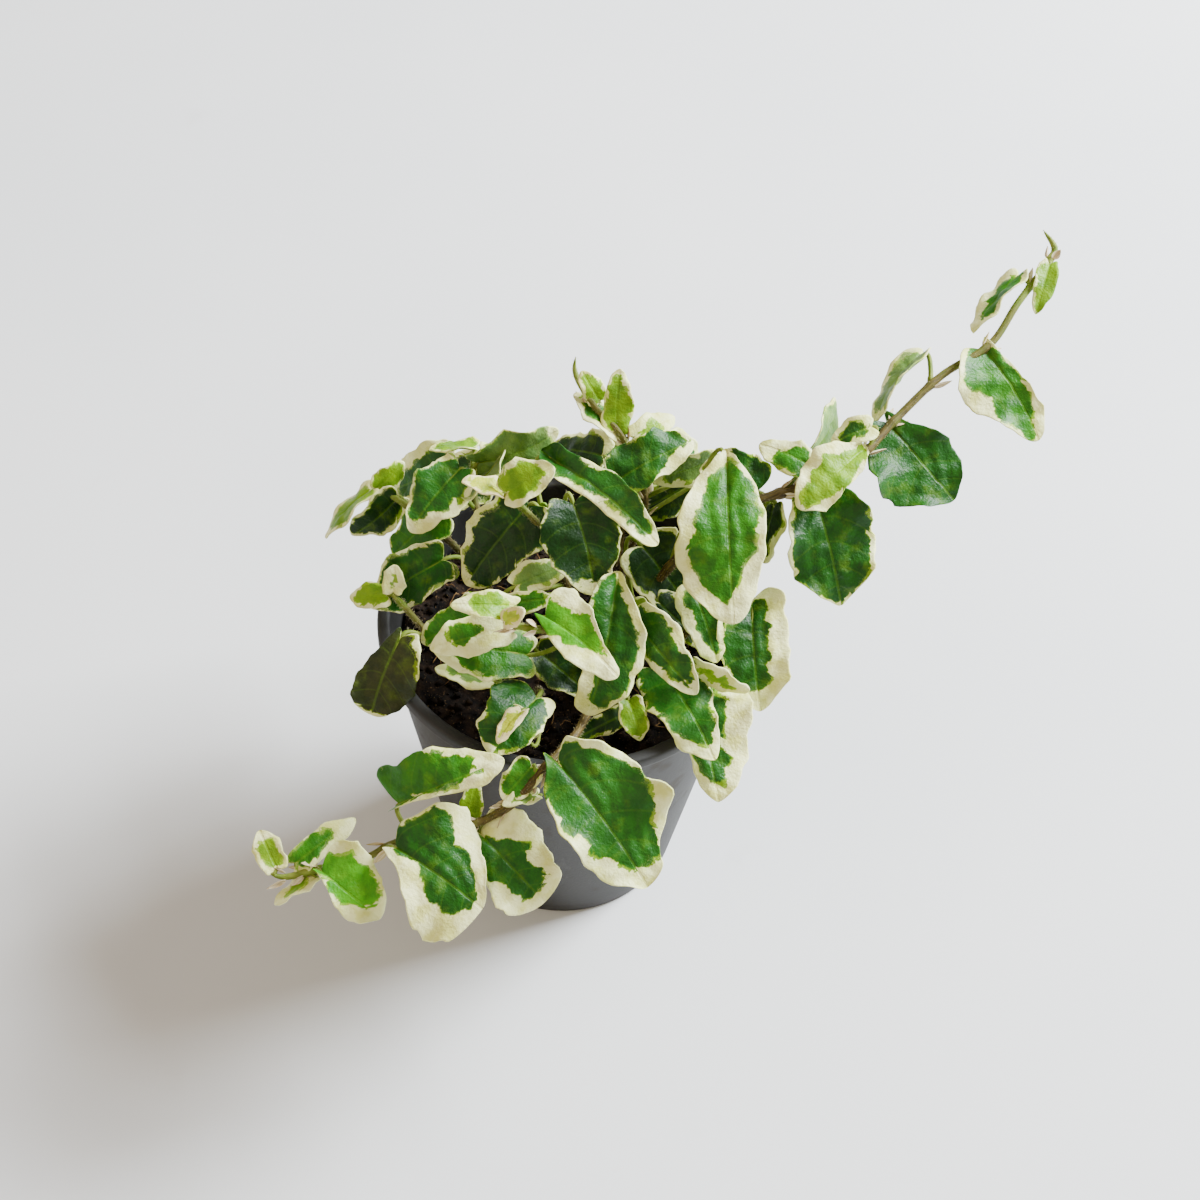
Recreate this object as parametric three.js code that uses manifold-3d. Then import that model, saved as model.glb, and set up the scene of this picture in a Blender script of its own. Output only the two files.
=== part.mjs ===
// A variegated creeping fig in a small plastic nursery pot.
// Millimetres, +Z up. The origin is the centre of the pot's underside, and the viewer stands at -Y.

import * as THREE from "three";
import { mergeVertices } from "three/addons/utils/BufferGeometryUtils.js";
import Module from "manifold-3d";

const wasm = await Module();
wasm.setup();

// Driving dimensions of the pot
const POT_HEIGHT = 56;
const RIM_RADIUS = 30;
const BASE_RADIUS = 19.5;
const WALL = 0.9;
const FLOOR = 1.2;
const LIP_HEIGHT = 2.5;
const LIP_PROUD = 1.1;
const FOOT_BEVEL = 0.8;
const DRAIN_HOLES = 4;
const DRAIN_RADIUS = 2;
const DRAIN_CIRCLE = 11;

// Driving dimensions of the soil
const SOIL_TOP = 50;
const SOIL_LUMP = 1;
const CLEARANCE = 0.3;
const HOLE_DEPTH = 10;

// Driving dimensions of the leaves
const BLADE_THICKNESS = 0.7;
const PETIOLE_RADIUS = 0.5;
const PETIOLE_REACH = 0.9;
const BASAL_LOBE = 0.9;
const SMALL_LEAF = 9;
const FACING = new THREE.Vector3(0, -0.45, 0.9).normalize();
const OUTLINE_ROWS = [0.05, 0.16, 0.31, 0.47, 0.63, 0.79, 0.93];
const PLAIN_ROWS = [0.07, 0.25, 0.47, 0.7, 0.9];
const SMALL_ROWS = [0.12, 0.45, 0.82];

// Rounds of the turned pieces and sides of the tubes
const TURNED_SIDES = 32;
const STEM_SIDES = 5;
const PETIOLE_SIDES = 3;
const PETIOLE_STEPS = 2;
const STEM_STEP = 5;

// Each shoot has a stem, as the points that it passes, and its leaves. A leaf line says:
// how far along the stem it grows (percent), where its blade starts and where its tip is,
// its half widths left and right of the midrib, and how far it is turned about the midrib (degrees).
// A half width is one number for a plain leaf,
// or one for each of OUTLINE_ROWS where the edge has its own lobes.
const SHOOTS = {
  shoot_right_tendril: {
    radius: 0.75,
    stem: [[9, 3, 42], [12, 4, 56], [20, 7, 69], [28, 9, 75], [34, 11, 76], [43, 15, 79], [49, 22, 81],
      [56, 29, 84], [64, 35, 86], [68, 41, 89], [73, 48, 92], [74, 50, 93], [72, 52, 95]],
    leaves: [
      [9, [11, 8, 64], [19, 3, 56], 5.4, 5.4, 0],
      [12, [14, 1, 59], [22, -3, 54], 3.2, 3.2, 0],
      [20, [23, 10, 80], [25, -10, 68],
        [0.8, 2, 4.6, 5.4, 4.8, 3.6, 2.2], [1, 2.5, 6.2, 8, 8.2, 6.6, 3.6], 0],
      [28, [28, 11, 75], [19, 13, 77], 3, 5.2, 0],
      [34, [31, 10, 73], [30, 5, 65], 3, 3, 50],
      [40, [36, 14, 78], [28, 17, 79], 3, 2.5, 0],
      [40, [37, 19, 77], [40, 28, 79], 3, 3, 60],
      [42, [37, 10, 75], [42, -1, 63],
        [2.4, 4.4, 7, 7.3, 7, 5, 1.8], [2.2, 3.6, 5.3, 6.4, 6.4, 4.4, 1.8], 0],
      [50, [43, 15, 80], [34, 6, 77],
        [0.8, 1.4, 2.6, 2.9, 3.2, 3.3, 1.8], [0.8, 1.8, 3.7, 4.7, 4.2, 3.2, 1.8], 0],
      [54, [45, 19, 82], [39, 17, 80], 2.2, 2.4, 0],
      [60, [48, 22, 80], [59, 14, 72],
        [0.8, 1.4, 2.6, 4.6, 5.1, 4.3, 1.8], [2, 3.5, 7.2, 9.2, 8.4, 5.8, 2.6], 0],
      [68, [53, 32, 85], [46, 22, 80], 3, 3, 60],
      [78, [63, 34, 85], [72, 23, 77],
        [1, 1.4, 2.1, 2.7, 2.8, 3, 1.7], [2.6, 4.6, 7.3, 7.5, 5.4, 3.6, 1.8], 0],
      [90, [68, 45, 91], [61, 36, 87], 3, 3, 55],
      [95, [73, 47, 92], [71, 40, 88], 1.8, 1.8, 0],
    ],
  },
  shoot_front_tendril: {
    radius: 0.7,
    stem: [[3, -9, 42], [4, -13, 48], [4, -17, 54], [2, -25, 58], [-2, -31, 58], [-6, -35, 55], [-11, -37, 52],
      [-17, -39, 51], [-23, -40, 50], [-28, -42, 48], [-35, -43, 46], [-40, -44, 45], [-42, -44, 46]],
    leaves: [
      [16, [11, -17, 55], [2, -22, 53], 1.8, 1.8, 0],
      [40, [0, -31, 59], [14, -45, 49],
        [3, 4.6, 8.3, 9.2, 10.5, 5.6, 3.8], [0.8, 1.6, 4.8, 5.9, 5.7, 5, 2.2], 0],
      [44, [-4, -31, 58], [-8, -35, 55], 2.6, 2.6, 0],
      [50, [-3, -34, 55], [-8, -36, 55], 1.4, 1.4, 20],
      [52, [-11, -38, 50], [-1, -46, 45],
        [3.5, 5.6, 6.6, 6.8, 5.7, 5, 4.2], [0.5, 0.8, 1.7, 4, 5.4, 5.6, 3.6], 0],
      [58, [-13, -36, 51], [-12, -32, 55], 1.8, 1.8, 0],
      [70, [-23, -36, 54], [-8, -32, 61],
        [5, 6.3, 5.3, 5.8, 4.6, 3, 1.4], [0.4, 0.5, 0.8, 1.6, 2.2, 2.5, 1.6], 0],
      [76, [-23, -42, 51], [-10, -49, 47],
        [3, 5.2, 9.8, 10.3, 8, 5.5, 2.6], [1, 1.5, 2.8, 6, 8.2, 8, 6], 0],
      [90, [-34, -44, 47], [-25, -49, 43],
        [3.5, 5.5, 6.4, 6.2, 5, 3.8, 2.2], [0.5, 0.6, 1.3, 2.6, 3.2, 2.8, 1.2], 0],
      [93, [-38, -42, 46], [-30, -35, 48], 2.2, 2.2, 0],
      [92, [-35, -44, 45], [-41, -47, 42], 1.8, 1.8, 40],
      [99, [-41, -43, 46], [-44, -38, 48], 2.3, 2.3, 0],
    ],
  },
  shoot_centre: {
    radius: 0.7,
    stem: [[2, -5, 42], [4, -10, 55], [2, -14, 65], [-2, -15, 70], [-6, -16, 72], [-9, -16, 73]],
    leaves: [
      [40, [-4, -11, 60], [4, -14, 54], 3.4, 3.2, 0],
      [60, [7, -7, 71], [4, -21, 58],
        [1, 1.6, 4.6, 6.4, 6, 5, 2.2], [1.5, 2.5, 3.5, 3.4, 2.4, 2.4, 2.4], 0],
      [72, [-6, -14, 63], [-20, -15, 65], 4.5, 4, 0],
      [82, [-3, -14, 72], [8, -22, 69],
        [3, 5.4, 5.6, 4.7, 2.8, 1.8, 1.2], [0.6, 1, 2, 3, 3.1, 2.2, 1.5], 0],
      [88, [-9, -14, 69], [-20, -17, 67], 3, 3.4, 0],
      [95, [-8, -13, 73], [-17, -15, 75], 2.1, 2.1, 0],
      [98, [-9, -16, 73], [-6, -16, 76], 1.6, 1.6, 0],
    ],
  },
  shoot_upright: {
    radius: 0.65,
    stem: [[5, 8, 42], [9, 12, 58], [11, 15, 68], [7, 20, 76], [2, 24, 79], [-1, 28, 82], [-1, 29, 84]],
    leaves: [
      [45, [18, 17, 69], [10, 15, 64], 3.5, 3, 0],
      [52, [21, 18, 74], [12, 16, 71], 2.8, 2.8, -40],
      [55, [7, 13, 74], [18, 19, 77], 4.5, 3.6, 0],
      [66, [9, 20, 76], [15, 25, 76], 2.4, 2.4, 0],
      [70, [6, 21, 76], [-1, 26, 79], 2.6, 2.2, 20],
      [76, [6, 21, 77], [6, 27, 84], 2.4, 2.4, 0],
      [86, [3, 25, 79], [0, 27, 83], 2, 1.8, 0],
    ],
  },
  shoot_crown: {
    radius: 0.65,
    stem: [[-2, 0, 42], [-1, 1, 50], [0, 1, 58], [-3, 4, 68], [-7, 5, 74], [-11, 6, 77]],
    leaves: [
      [45, [-8, -3, 66], [0, 1, 67], 2.6, 2.4, 0],
      [50, [-9, -6, 65], [-2, -6, 67], 1.9, 1.9, 0],
      [60, [0, 6, 75], [4, -4, 66], 5.8, 5.8, 0],
      [70, [-3, 10, 80], [13, -2, 76],
        [1.5, 2.2, 2.6, 3.8, 3.6, 2.6, 1.4], [0.8, 1.8, 2.6, 1.8, 1.8, 1.8, 1.6], 0],
      [76, [-7, 7, 73], [-16, 0, 62], 5.5, 5.5, 0],
      [80, [-4, 7, 73], [-6, 6, 69], 1.4, 1.4, 0],
      [92, [-10, 5, 78], [-3, 7, 82], 3.6, 3, 0],
      [98, [-11, 6, 77], [-17, 6, 79], 2, 2, 30],
    ],
  },
  shoot_back_left: {
    radius: 0.65,
    stem: [[-6, 6, 42], [-9, 7, 56], [-15, 10, 68], [-16, 14, 72], [-16, 17, 75]],
    leaves: [
      [75, [-17, 9, 73], [-11, 14, 79], 3.6, 3, 120],
      [82, [-18, 13, 74], [-25, 5, 68], 4.2, 4.2, 0],
      [90, [-15, 15, 74], [-3, 19, 78], 4, 4, 50],
      [98, [-16, 17, 75], [-23, 17, 74], 2.4, 2.4, 50],
    ],
  },
  shoot_far_left: {
    radius: 0.65,
    stem: [[-9, 3, 42], [-11, 4, 50], [-14, 6, 57], [-21, 9, 64], [-27, 12, 67], [-31, 14, 68]],
    leaves: [
      [50, [-20, 3, 64], [-31, -2, 58], 4.4, 4.4, 0],
      [65, [-21, 9, 68], [-28, 6, 61], 4, 3.6, 0],
      [85, [-28, 13, 67], [-35, 10, 61], 3.4, 3.4, -50],
      [96, [-32, 14, 67], [-39, 9, 61], 3, 3, 50],
      [99, [-31, 14, 68], [-27, 17, 71], 2, 2, 30],
    ],
  },
  shoot_left_rim: {
    radius: 0.65,
    stem: [[-10, -5, 42], [-14, -8, 52], [-19, -10, 58], [-23, -7, 61], [-26, -4, 62], [-28, -2, 62]],
    leaves: [
      [45, [-11, -14, 56], [-20, -12, 56], 2.2, 2.2, 20],
      [60, [-13, -8, 66], [-22, -11, 61], 3, 3, 0],
      [65, [-25, -12, 63], [-29, -20, 54],
        [2, 3, 4.3, 5.1, 5.1, 4, 2.4], [0.6, 1.2, 2.2, 3.4, 4.2, 4, 3], 0],
      [90, [-27, -3, 63], [-27, 0, 66], 1.8, 1.8, 0],
      [97, [-28, -3, 62], [-34, -2, 60], 2.2, 2.2, 0],
    ],
  },
  shoot_front_left: {
    radius: 0.65,
    stem: [[-3, -8, 42], [-4, -13, 53], [-4, -19, 58], [-6, -23, 59]],
    leaves: [
      [60, [-4, -20, 60], [-10, -30, 59], 3.8, 6, 0],
      [70, [-5, -25, 57], [-8, -22, 61], 2.4, 2.4, 0],
      [95, [-6, -24, 62], [-9, -30, 62], 1.7, 1.7, 30],
    ],
  },
  shoot_middle: {
    radius: 0.65,
    stem: [[7, -4, 42], [9, -6, 56], [11, -6, 64], [9, -5, 68]],
    leaves: [
      [42, [10, -18, 58], [12, -23, 55], 2.2, 2.2, 0],
      [95, [10, -8, 66], [20, -19, 62], 4.4, 2.8, 20],
    ],
  },
  shoot_right_side: {
    radius: 0.65,
    stem: [[13, -2, 42], [14, -4, 50], [17, -5, 57], [21, -4, 62], [26, -3, 65], [28, -2, 65]],
    leaves: [
      [40, [15, -13, 59], [23, -28, 58], 4.4, 4.8, 0],
      [44, [20, -16, 61], [24, -32, 53], 7, 4, 0],
      [48, [20, -14, 63], [28, -17, 61], 2, 2, 50],
      [60, [19, -3, 67], [23, -12, 61], 3.3, 3.3, 0],
      [98, [28, -3, 65], [30, -17, 56], 5.5, 6, 0],
    ],
  },
  shoot_back_right: {
    radius: 0.65,
    stem: [[6, 12, 42], [7, 16, 49], [8, 20, 56], [9, 27, 59], [10, 33, 57], [11, 36, 50]],
    leaves: [
      [45, [13, 24, 61], [25, 28, 56], 5, 5, 0],
      [55, [4, 30, 61], [-5, 36, 55], 4.2, 4.2, 0],
      [75, [13, 36, 56], [21, 42, 46], 5.5, 5, 0],
      [85, [8, 38, 52], [3, 43, 40], 5, 5.5, 0],
      [98, [11, 37, 49], [14, 41, 39], 3, 3, 0],
    ],
  },
  shoot_back_middle: {
    radius: 0.65,
    stem: [[-6, 12, 42], [-8, 16, 49], [-9, 19, 55], [-13, 25, 59], [-18, 29, 58], [-21, 32, 51]],
    leaves: [
      [50, [-15, 23, 62], [-27, 22, 57], 5, 5, 0],
      [60, [-12, 29, 61], [-12, 38, 52], 4.5, 4.5, 0],
      [80, [-21, 30, 57], [-31, 32, 48], 5, 5, 0],
      [97, [-21, 33, 50], [-20, 40, 40], 4.5, 4.5, 0],
    ],
  },
};

// A repeatable draw between 0 and 1
function draw(seed, index) {
  const value = Math.sin(seed * 12.9898 + index * 78.233) * 43758.5453;
  return value - Math.floor(value);
}

// Height of the lumpy soil at a place
function soilHeight(x, y) {
  const lumps = Math.sin(0.31 * x + 1) * Math.cos(0.27 * y) + 0.4 * Math.sin(0.6 * y + 0.5 * x);
  return SOIL_TOP + SOIL_LUMP * lumps;
}

// A closed geometry as a solid that can be joined and cut
function solidOf(geometry) {
  const bare = geometry.index ? geometry : geometry.clone();
  bare.deleteAttribute("normal");
  bare.deleteAttribute("uv");
  const merged = mergeVertices(bare, 1e-4);
  const mesh = new wasm.Mesh({
    numProp: 3,
    vertProperties: Float32Array.from(merged.attributes.position.array),
    triVerts: Uint32Array.from(merged.index.array),
  });
  return new wasm.Manifold(mesh);
}

// A solid as a named mesh
function meshOf(name, solid, material) {
  const result = solid.getMesh();
  const geometry = new THREE.BufferGeometry();
  geometry.setAttribute("position", new THREE.BufferAttribute(result.vertProperties, 3));
  geometry.setIndex(new THREE.BufferAttribute(result.triVerts, 1));
  geometry.computeVertexNormals();
  const mesh = new THREE.Mesh(geometry, material);
  mesh.name = name;
  return mesh;
}

// A round bar along a curve, closed at both ends
function barAlong(curve, radius, sides, steps) {
  const corners = [];
  for (let i = 0; i < sides; i++) {
    const angle = (2 * Math.PI * i) / sides;
    corners.push(new THREE.Vector2(radius * Math.cos(angle), radius * Math.sin(angle)));
  }
  const options = { steps, bevelEnabled: false, extrudePath: curve };
  return solidOf(new THREE.ExtrudeGeometry(new THREE.Shape(corners), options));
}

// Steps of a stem's bar
function stemSteps(curve) {
  return Math.ceil(curve.getLength() / STEM_STEP);
}

// Radius of the pot's outer wall at a height
function wallRadius(z) {
  const top = RIM_RADIUS - LIP_PROUD;
  return BASE_RADIUS + ((top - BASE_RADIUS) * z) / POT_HEIGHT;
}

// The pot is turned from one profile, then drilled off its centre
function potSolid() {
  const lipBottom = POT_HEIGHT - LIP_HEIGHT;
  const profile = [
    [0, 0], [BASE_RADIUS - FOOT_BEVEL, 0], [wallRadius(FOOT_BEVEL), FOOT_BEVEL],
    [wallRadius(lipBottom - LIP_PROUD / 2), lipBottom - LIP_PROUD / 2],
    [RIM_RADIUS, lipBottom], [RIM_RADIUS, POT_HEIGHT - 0.3], [RIM_RADIUS - 0.4, POT_HEIGHT],
    [wallRadius(POT_HEIGHT) - WALL, POT_HEIGHT], [wallRadius(FLOOR) - WALL, FLOOR], [0, FLOOR],
  ];
  const points = profile.map(([r, z]) => new THREE.Vector2(r, z));
  const turned = new THREE.LatheGeometry(points, TURNED_SIDES).rotateX(Math.PI / 2);
  let pot = solidOf(turned);
  for (let i = 0; i < DRAIN_HOLES; i++) {
    const angle = ((i + 0.5) * 2 * Math.PI) / DRAIN_HOLES;
    const drill = new THREE.CylinderGeometry(DRAIN_RADIUS, DRAIN_RADIUS, 4 * FLOOR, 12).rotateX(Math.PI / 2);
    drill.translate(DRAIN_CIRCLE * Math.cos(angle), DRAIN_CIRCLE * Math.sin(angle), 0);
    pot = pot.subtract(solidOf(drill));
  }
  return pot;
}

// The soil fills the pot to just below its rim, with a lumpy top and a plain hole for each stem
function soilSolid(stems) {
  const bottom = FLOOR + CLEARANCE;
  const edge = (z) => wallRadius(z) - WALL - CLEARANCE;
  const profile = [[0, bottom], [edge(bottom), bottom], [edge(SOIL_TOP), SOIL_TOP]];
  for (let ring = 5; ring >= 0; ring--) {
    profile.push([(edge(SOIL_TOP) - 1) * (ring / 5.2), SOIL_TOP]);
  }
  const points = profile.map(([r, z]) => new THREE.Vector2(r, z));
  const turned = new THREE.LatheGeometry(points, TURNED_SIDES / 2).rotateX(Math.PI / 2);
  const position = turned.attributes.position;
  for (let i = 0; i < position.count; i++) {
    const x = position.getX(i);
    const y = position.getY(i);
    if (position.getZ(i) > SOIL_TOP - 1 && Math.hypot(x, y) < edge(SOIL_TOP) - 0.5) {
      position.setZ(i, soilHeight(x, y));
    }
  }
  let soil = solidOf(turned);
  for (const { curve, radius } of stems) {
    const root = curve.getPointAt(0);
    const rise = curve.getTangentAt(0);
    const bottomEnd = root.clone().addScaledVector(rise, -2 * CLEARANCE);
    const topEnd = root.clone().addScaledVector(rise, HOLE_DEPTH);
    const axis = new THREE.LineCurve3(bottomEnd, topEnd);
    soil = soil.subtract(barAlong(axis, radius + 2 * CLEARANCE, STEM_SIDES + 1, 1));
  }
  return soil;
}

// The frame of a blade: along its midrib, square to its upper face, and to its right edge
function bladeFrame(leaf) {
  const [, base, tip, , , turn] = leaf;
  const start = new THREE.Vector3(...base);
  const along = new THREE.Vector3(...tip).sub(start);
  const length = along.length();
  along.normalize();
  const face = FACING.clone().addScaledVector(along, -FACING.dot(along)).normalize();
  face.applyAxisAngle(along, THREE.MathUtils.degToRad(turn));
  const right = along.clone().cross(face);
  return { start, along, face, right, length };
}

// Outline share of the half width at a place from base (0) to tip (1)
function bladeWidth(u, seed, side) {
  const plain = Math.sin(Math.PI * u ** 0.8) ** 0.6;
  const bulge = 0.08 * Math.sin(2 * Math.PI * (1.7 * u + draw(seed, side + 1)));
  const lobes = 0.05 * Math.sin(2 * Math.PI * (3.2 * u + draw(seed, side + 3)));
  return plain * (1 + bulge + lobes);
}

// Half width of a blade in mm, plain or from its own outline
function halfWidth(width, u, seed, side) {
  if (!Array.isArray(width)) {
    return width * bladeWidth(u, seed, side);
  }
  const places = [0, ...OUTLINE_ROWS, 1];
  const widths = [0, ...width, 0];
  const next = Math.max(1, places.findIndex((place) => place >= u));
  const share = (u - places[next - 1]) / (places[next] - places[next - 1]);
  return THREE.MathUtils.lerp(widths[next - 1], widths[next], share);
}

// A point of the blade's middle surface: u runs from base to tip, v from left edge (-1) to right (1)
function bladePoint(leaf, seed, u, v) {
  const { start, along, face, right, length } = bladeFrame(leaf);
  const side = v < 0 ? 0 : 1;
  const half = halfWidth(leaf[3 + side], u, seed, side);
  const behind = BASAL_LOBE * Math.sqrt(u) * (1 - u) ** 3 * v * v;
  const arch = (0.03 + 0.09 * draw(seed, 5)) * length * 4 * u * (1 - u);
  const cup = (-0.08 + 0.3 * draw(seed, 6)) * half * v * v;
  const ripple = Math.sin(2 * Math.PI * ((1.3 + draw(seed, 7)) * u + draw(seed, 8 + side)));
  const wave = 0.2 * half * v * v * ripple;
  return start.clone()
    .addScaledVector(along, length * (u - behind))
    .addScaledVector(right, half * v)
    .addScaledVector(face, arch + cup + wave);
}

// A thin blade with a waved and lobed edge, split into triangles alike on both faces
function bladeSolid(leaf, seed) {
  const { face, length } = bladeFrame(leaf);
  const plainRows = length < SMALL_LEAF ? SMALL_ROWS : PLAIN_ROWS;
  const rows = Array.isArray(leaf[3]) ? OUTLINE_ROWS : plainRows;
  const places = [[0, 0]];
  for (const u of rows) {
    places.push([u, -1], [u, 0], [u, 1]);
  }
  places.push([1, 0]);
  const count = places.length;
  const last = count - 1;
  const left = rows.map((_, i) => 1 + 3 * i);
  const faces = [[0, left[0] + 1, left[0]], [0, left[0] + 2, left[0] + 1]];
  for (let i = 0; i + 1 < rows.length; i++) {
    for (const a of [left[i], left[i] + 1]) {
      const b = a + 3;
      faces.push([a, a + 1, b + (a === left[i] ? 0 : 1)]);
      faces.push(a === left[i] ? [a + 1, b + 1, b] : [a, b + 1, b]);
    }
  }
  const end = left[rows.length - 1];
  faces.push([end, end + 1, last], [end + 1, end + 2, last]);
  const rim = [0, ...left.map((i) => i + 2), last, ...left.slice().reverse()];
  const vertices = [];
  for (const offset of [BLADE_THICKNESS / 2, -BLADE_THICKNESS / 2]) {
    for (const [u, v] of places) {
      vertices.push(...bladePoint(leaf, seed, u, v).addScaledVector(face, offset).toArray());
    }
  }
  const triangles = [];
  for (const [a, b, c] of faces) {
    triangles.push(a, b, c, a + count, c + count, b + count);
  }
  for (let i = 0; i < rim.length; i++) {
    const a = rim[i];
    const b = rim[(i + 1) % rim.length];
    triangles.push(a, a + count, b, b, a + count, b + count);
  }
  const geometry = new THREE.BufferGeometry();
  geometry.setAttribute("position", new THREE.Float32BufferAttribute(vertices, 3));
  geometry.setIndex(triangles);
  return solidOf(geometry);
}

// The leaf's stalk leaves the stem and runs into the blade along its midrib,
// in a wider bow where it turns back
function petioleSolid(leaf, seed, curve) {
  const { start, along, length } = bladeFrame(leaf);
  const root = curve.getPointAt(leaf[0] / 100);
  const reach = start.clone().sub(root);
  const turnsBack = reach.dot(along) < -0.3 * reach.length();
  const bow = (turnsBack ? 0.6 : 0.35) * reach.length();
  const end = bladePoint(leaf, seed, PETIOLE_REACH / length, 0);
  const knee = root.clone().lerp(end, 0.5).add(start).multiplyScalar(0.5).addScaledVector(along, -bow / 2);
  const path = new THREE.CatmullRomCurve3([root, knee, end]);
  return barAlong(path, PETIOLE_RADIUS, PETIOLE_SIDES, turnsBack ? 2 * PETIOLE_STEPS : PETIOLE_STEPS);
}

// One leafy stem in one body
function shootSolid(shoot, curve, firstSeed) {
  const pieces = [barAlong(curve, shoot.radius, STEM_SIDES, stemSteps(curve))];
  shoot.leaves.forEach((leaf, i) => {
    pieces.push(bladeSolid(leaf, firstSeed + i), petioleSolid(leaf, firstSeed + i, curve));
  });
  const parts = wasm.Manifold.union(pieces).decompose();
  return parts.reduce((largest, part) => (part.volume() > largest.volume() ? part : largest));
}

const plant = new THREE.Group();
const potGrey = new THREE.MeshStandardMaterial({ color: 0x4b4b4d, roughness: 0.6, metalness: 0 });
const soilBrown = new THREE.MeshStandardMaterial({ color: 0x1d140e, roughness: 1, metalness: 0 });
const leafGreen = new THREE.MeshStandardMaterial({ color: 0x4f8a2c, roughness: 0.5, metalness: 0 });

const stems = Object.values(SHOOTS).map((shoot) => ({
  curve: new THREE.CatmullRomCurve3(shoot.stem.map((point) => new THREE.Vector3(...point))),
  radius: shoot.radius,
}));

plant.add(meshOf("pot", potSolid(), potGrey));
plant.add(meshOf("soil", soilSolid(stems), soilBrown));
let seed = 1;
Object.entries(SHOOTS).forEach(([name, shoot], i) => {
  plant.add(meshOf(name, shootSolid(shoot, stems[i].curve, seed), leafGreen));
  seed += shoot.leaves.length;
});

export default plant;
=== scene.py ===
# %% [markdown]
# # A potted variegated creeping fig
#
# The object is a young creeping fig in a small plastic nursery pot. Thin stems rise out of dark soil
# and trail over the rim, and each carries soft round leaves with a green heart and a ragged cream
# edge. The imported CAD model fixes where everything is: it is loaded first and never moved. Each
# plain solid is then replaced by a finer piece that grows from the same points.

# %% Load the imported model
import math
from collections import namedtuple

import bpy
import numpy as np
from mathutils import Matrix, Vector, noise


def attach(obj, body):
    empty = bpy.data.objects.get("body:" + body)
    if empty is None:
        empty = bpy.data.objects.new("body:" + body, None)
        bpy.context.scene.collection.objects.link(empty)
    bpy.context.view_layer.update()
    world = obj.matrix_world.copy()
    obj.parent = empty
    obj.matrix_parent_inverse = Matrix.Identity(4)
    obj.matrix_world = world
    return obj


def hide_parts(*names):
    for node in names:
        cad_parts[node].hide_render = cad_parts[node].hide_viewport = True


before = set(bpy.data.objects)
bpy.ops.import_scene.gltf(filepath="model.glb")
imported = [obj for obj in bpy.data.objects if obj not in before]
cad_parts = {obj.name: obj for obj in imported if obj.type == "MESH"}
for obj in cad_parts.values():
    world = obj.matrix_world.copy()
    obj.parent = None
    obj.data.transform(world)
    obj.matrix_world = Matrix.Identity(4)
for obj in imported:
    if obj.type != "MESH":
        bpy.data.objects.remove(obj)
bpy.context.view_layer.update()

print("Nodes:", sorted(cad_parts))

# %% [markdown]
# ## Sizes
#
# The part's source works in millimetres, and so does this script: a leaf of 15 mm is easier to
# judge than one of 0.015 m. Everything is scaled to metres at one place, where a mesh is made.
# The pot's numbers repeat those of the source.

# %% Sizes in millimetres
MM = 0.001

POT_HEIGHT = 56
RIM_RADIUS = 30
BASE_RADIUS = 19.5
WALL = 0.9
FLOOR = 1.2
LIP_HEIGHT = 2.5
LIP_PROUD = 1.1
DRAIN_HOLES = 4
DRAIN_RADIUS = 2
DRAIN_CIRCLE = 11
SOIL_TOP = 50
SOIL_LUMP = 1
CLEARANCE = 0.3

BLADE_THICKNESS = 0.34
BASAL_LOBE = 0.9
FACING = np.array([0, -0.45, 0.9]) / math.hypot(0.45, 0.9)
OUTLINE_ROWS = [0.05, 0.16, 0.31, 0.47, 0.63, 0.79, 0.93]

print("Pot:", 2 * RIM_RADIUS, "mm wide and", POT_HEIGHT, "mm high")

# %% [markdown]
# ## The shoots
#
# A creeping fig is a few stems with a leaf at every node. The table lists each shoot as the points
# that its stem passes and its leaves, as the part's source does. A leaf's line says how far along the
# stem it grows (percent), where its blade starts and ends, its half widths left and right of the
# midrib, and its turn about the midrib (degrees). A half width is one number for a plain leaf, or
# one for each of OUTLINE_ROWS. The looks come after it: the green of its heart, and how wide its
# cream edge is at the left, at the right, at the tip and at the base, in millimetres. NONE means
# that the green runs out to the edge. Two leaves, at 75 percent of "back_left" and at 44 percent of
# "right_side", start 2 mm deeper than in the source, so that they don't grow through a neighbour.

# %% The shoots and their leaves
NONE = -9
Leaf = namedtuple("Leaf", "place base tip left right turn heart cream")
SHOOTS = {}


def note_shoot(name, stem, leaves, radius=0.65):
    """Notes a shoot and its leaves."""
    SHOOTS[name] = {"stem": stem, "leaves": [Leaf(*row) for row in leaves], "radius": radius}


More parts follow.
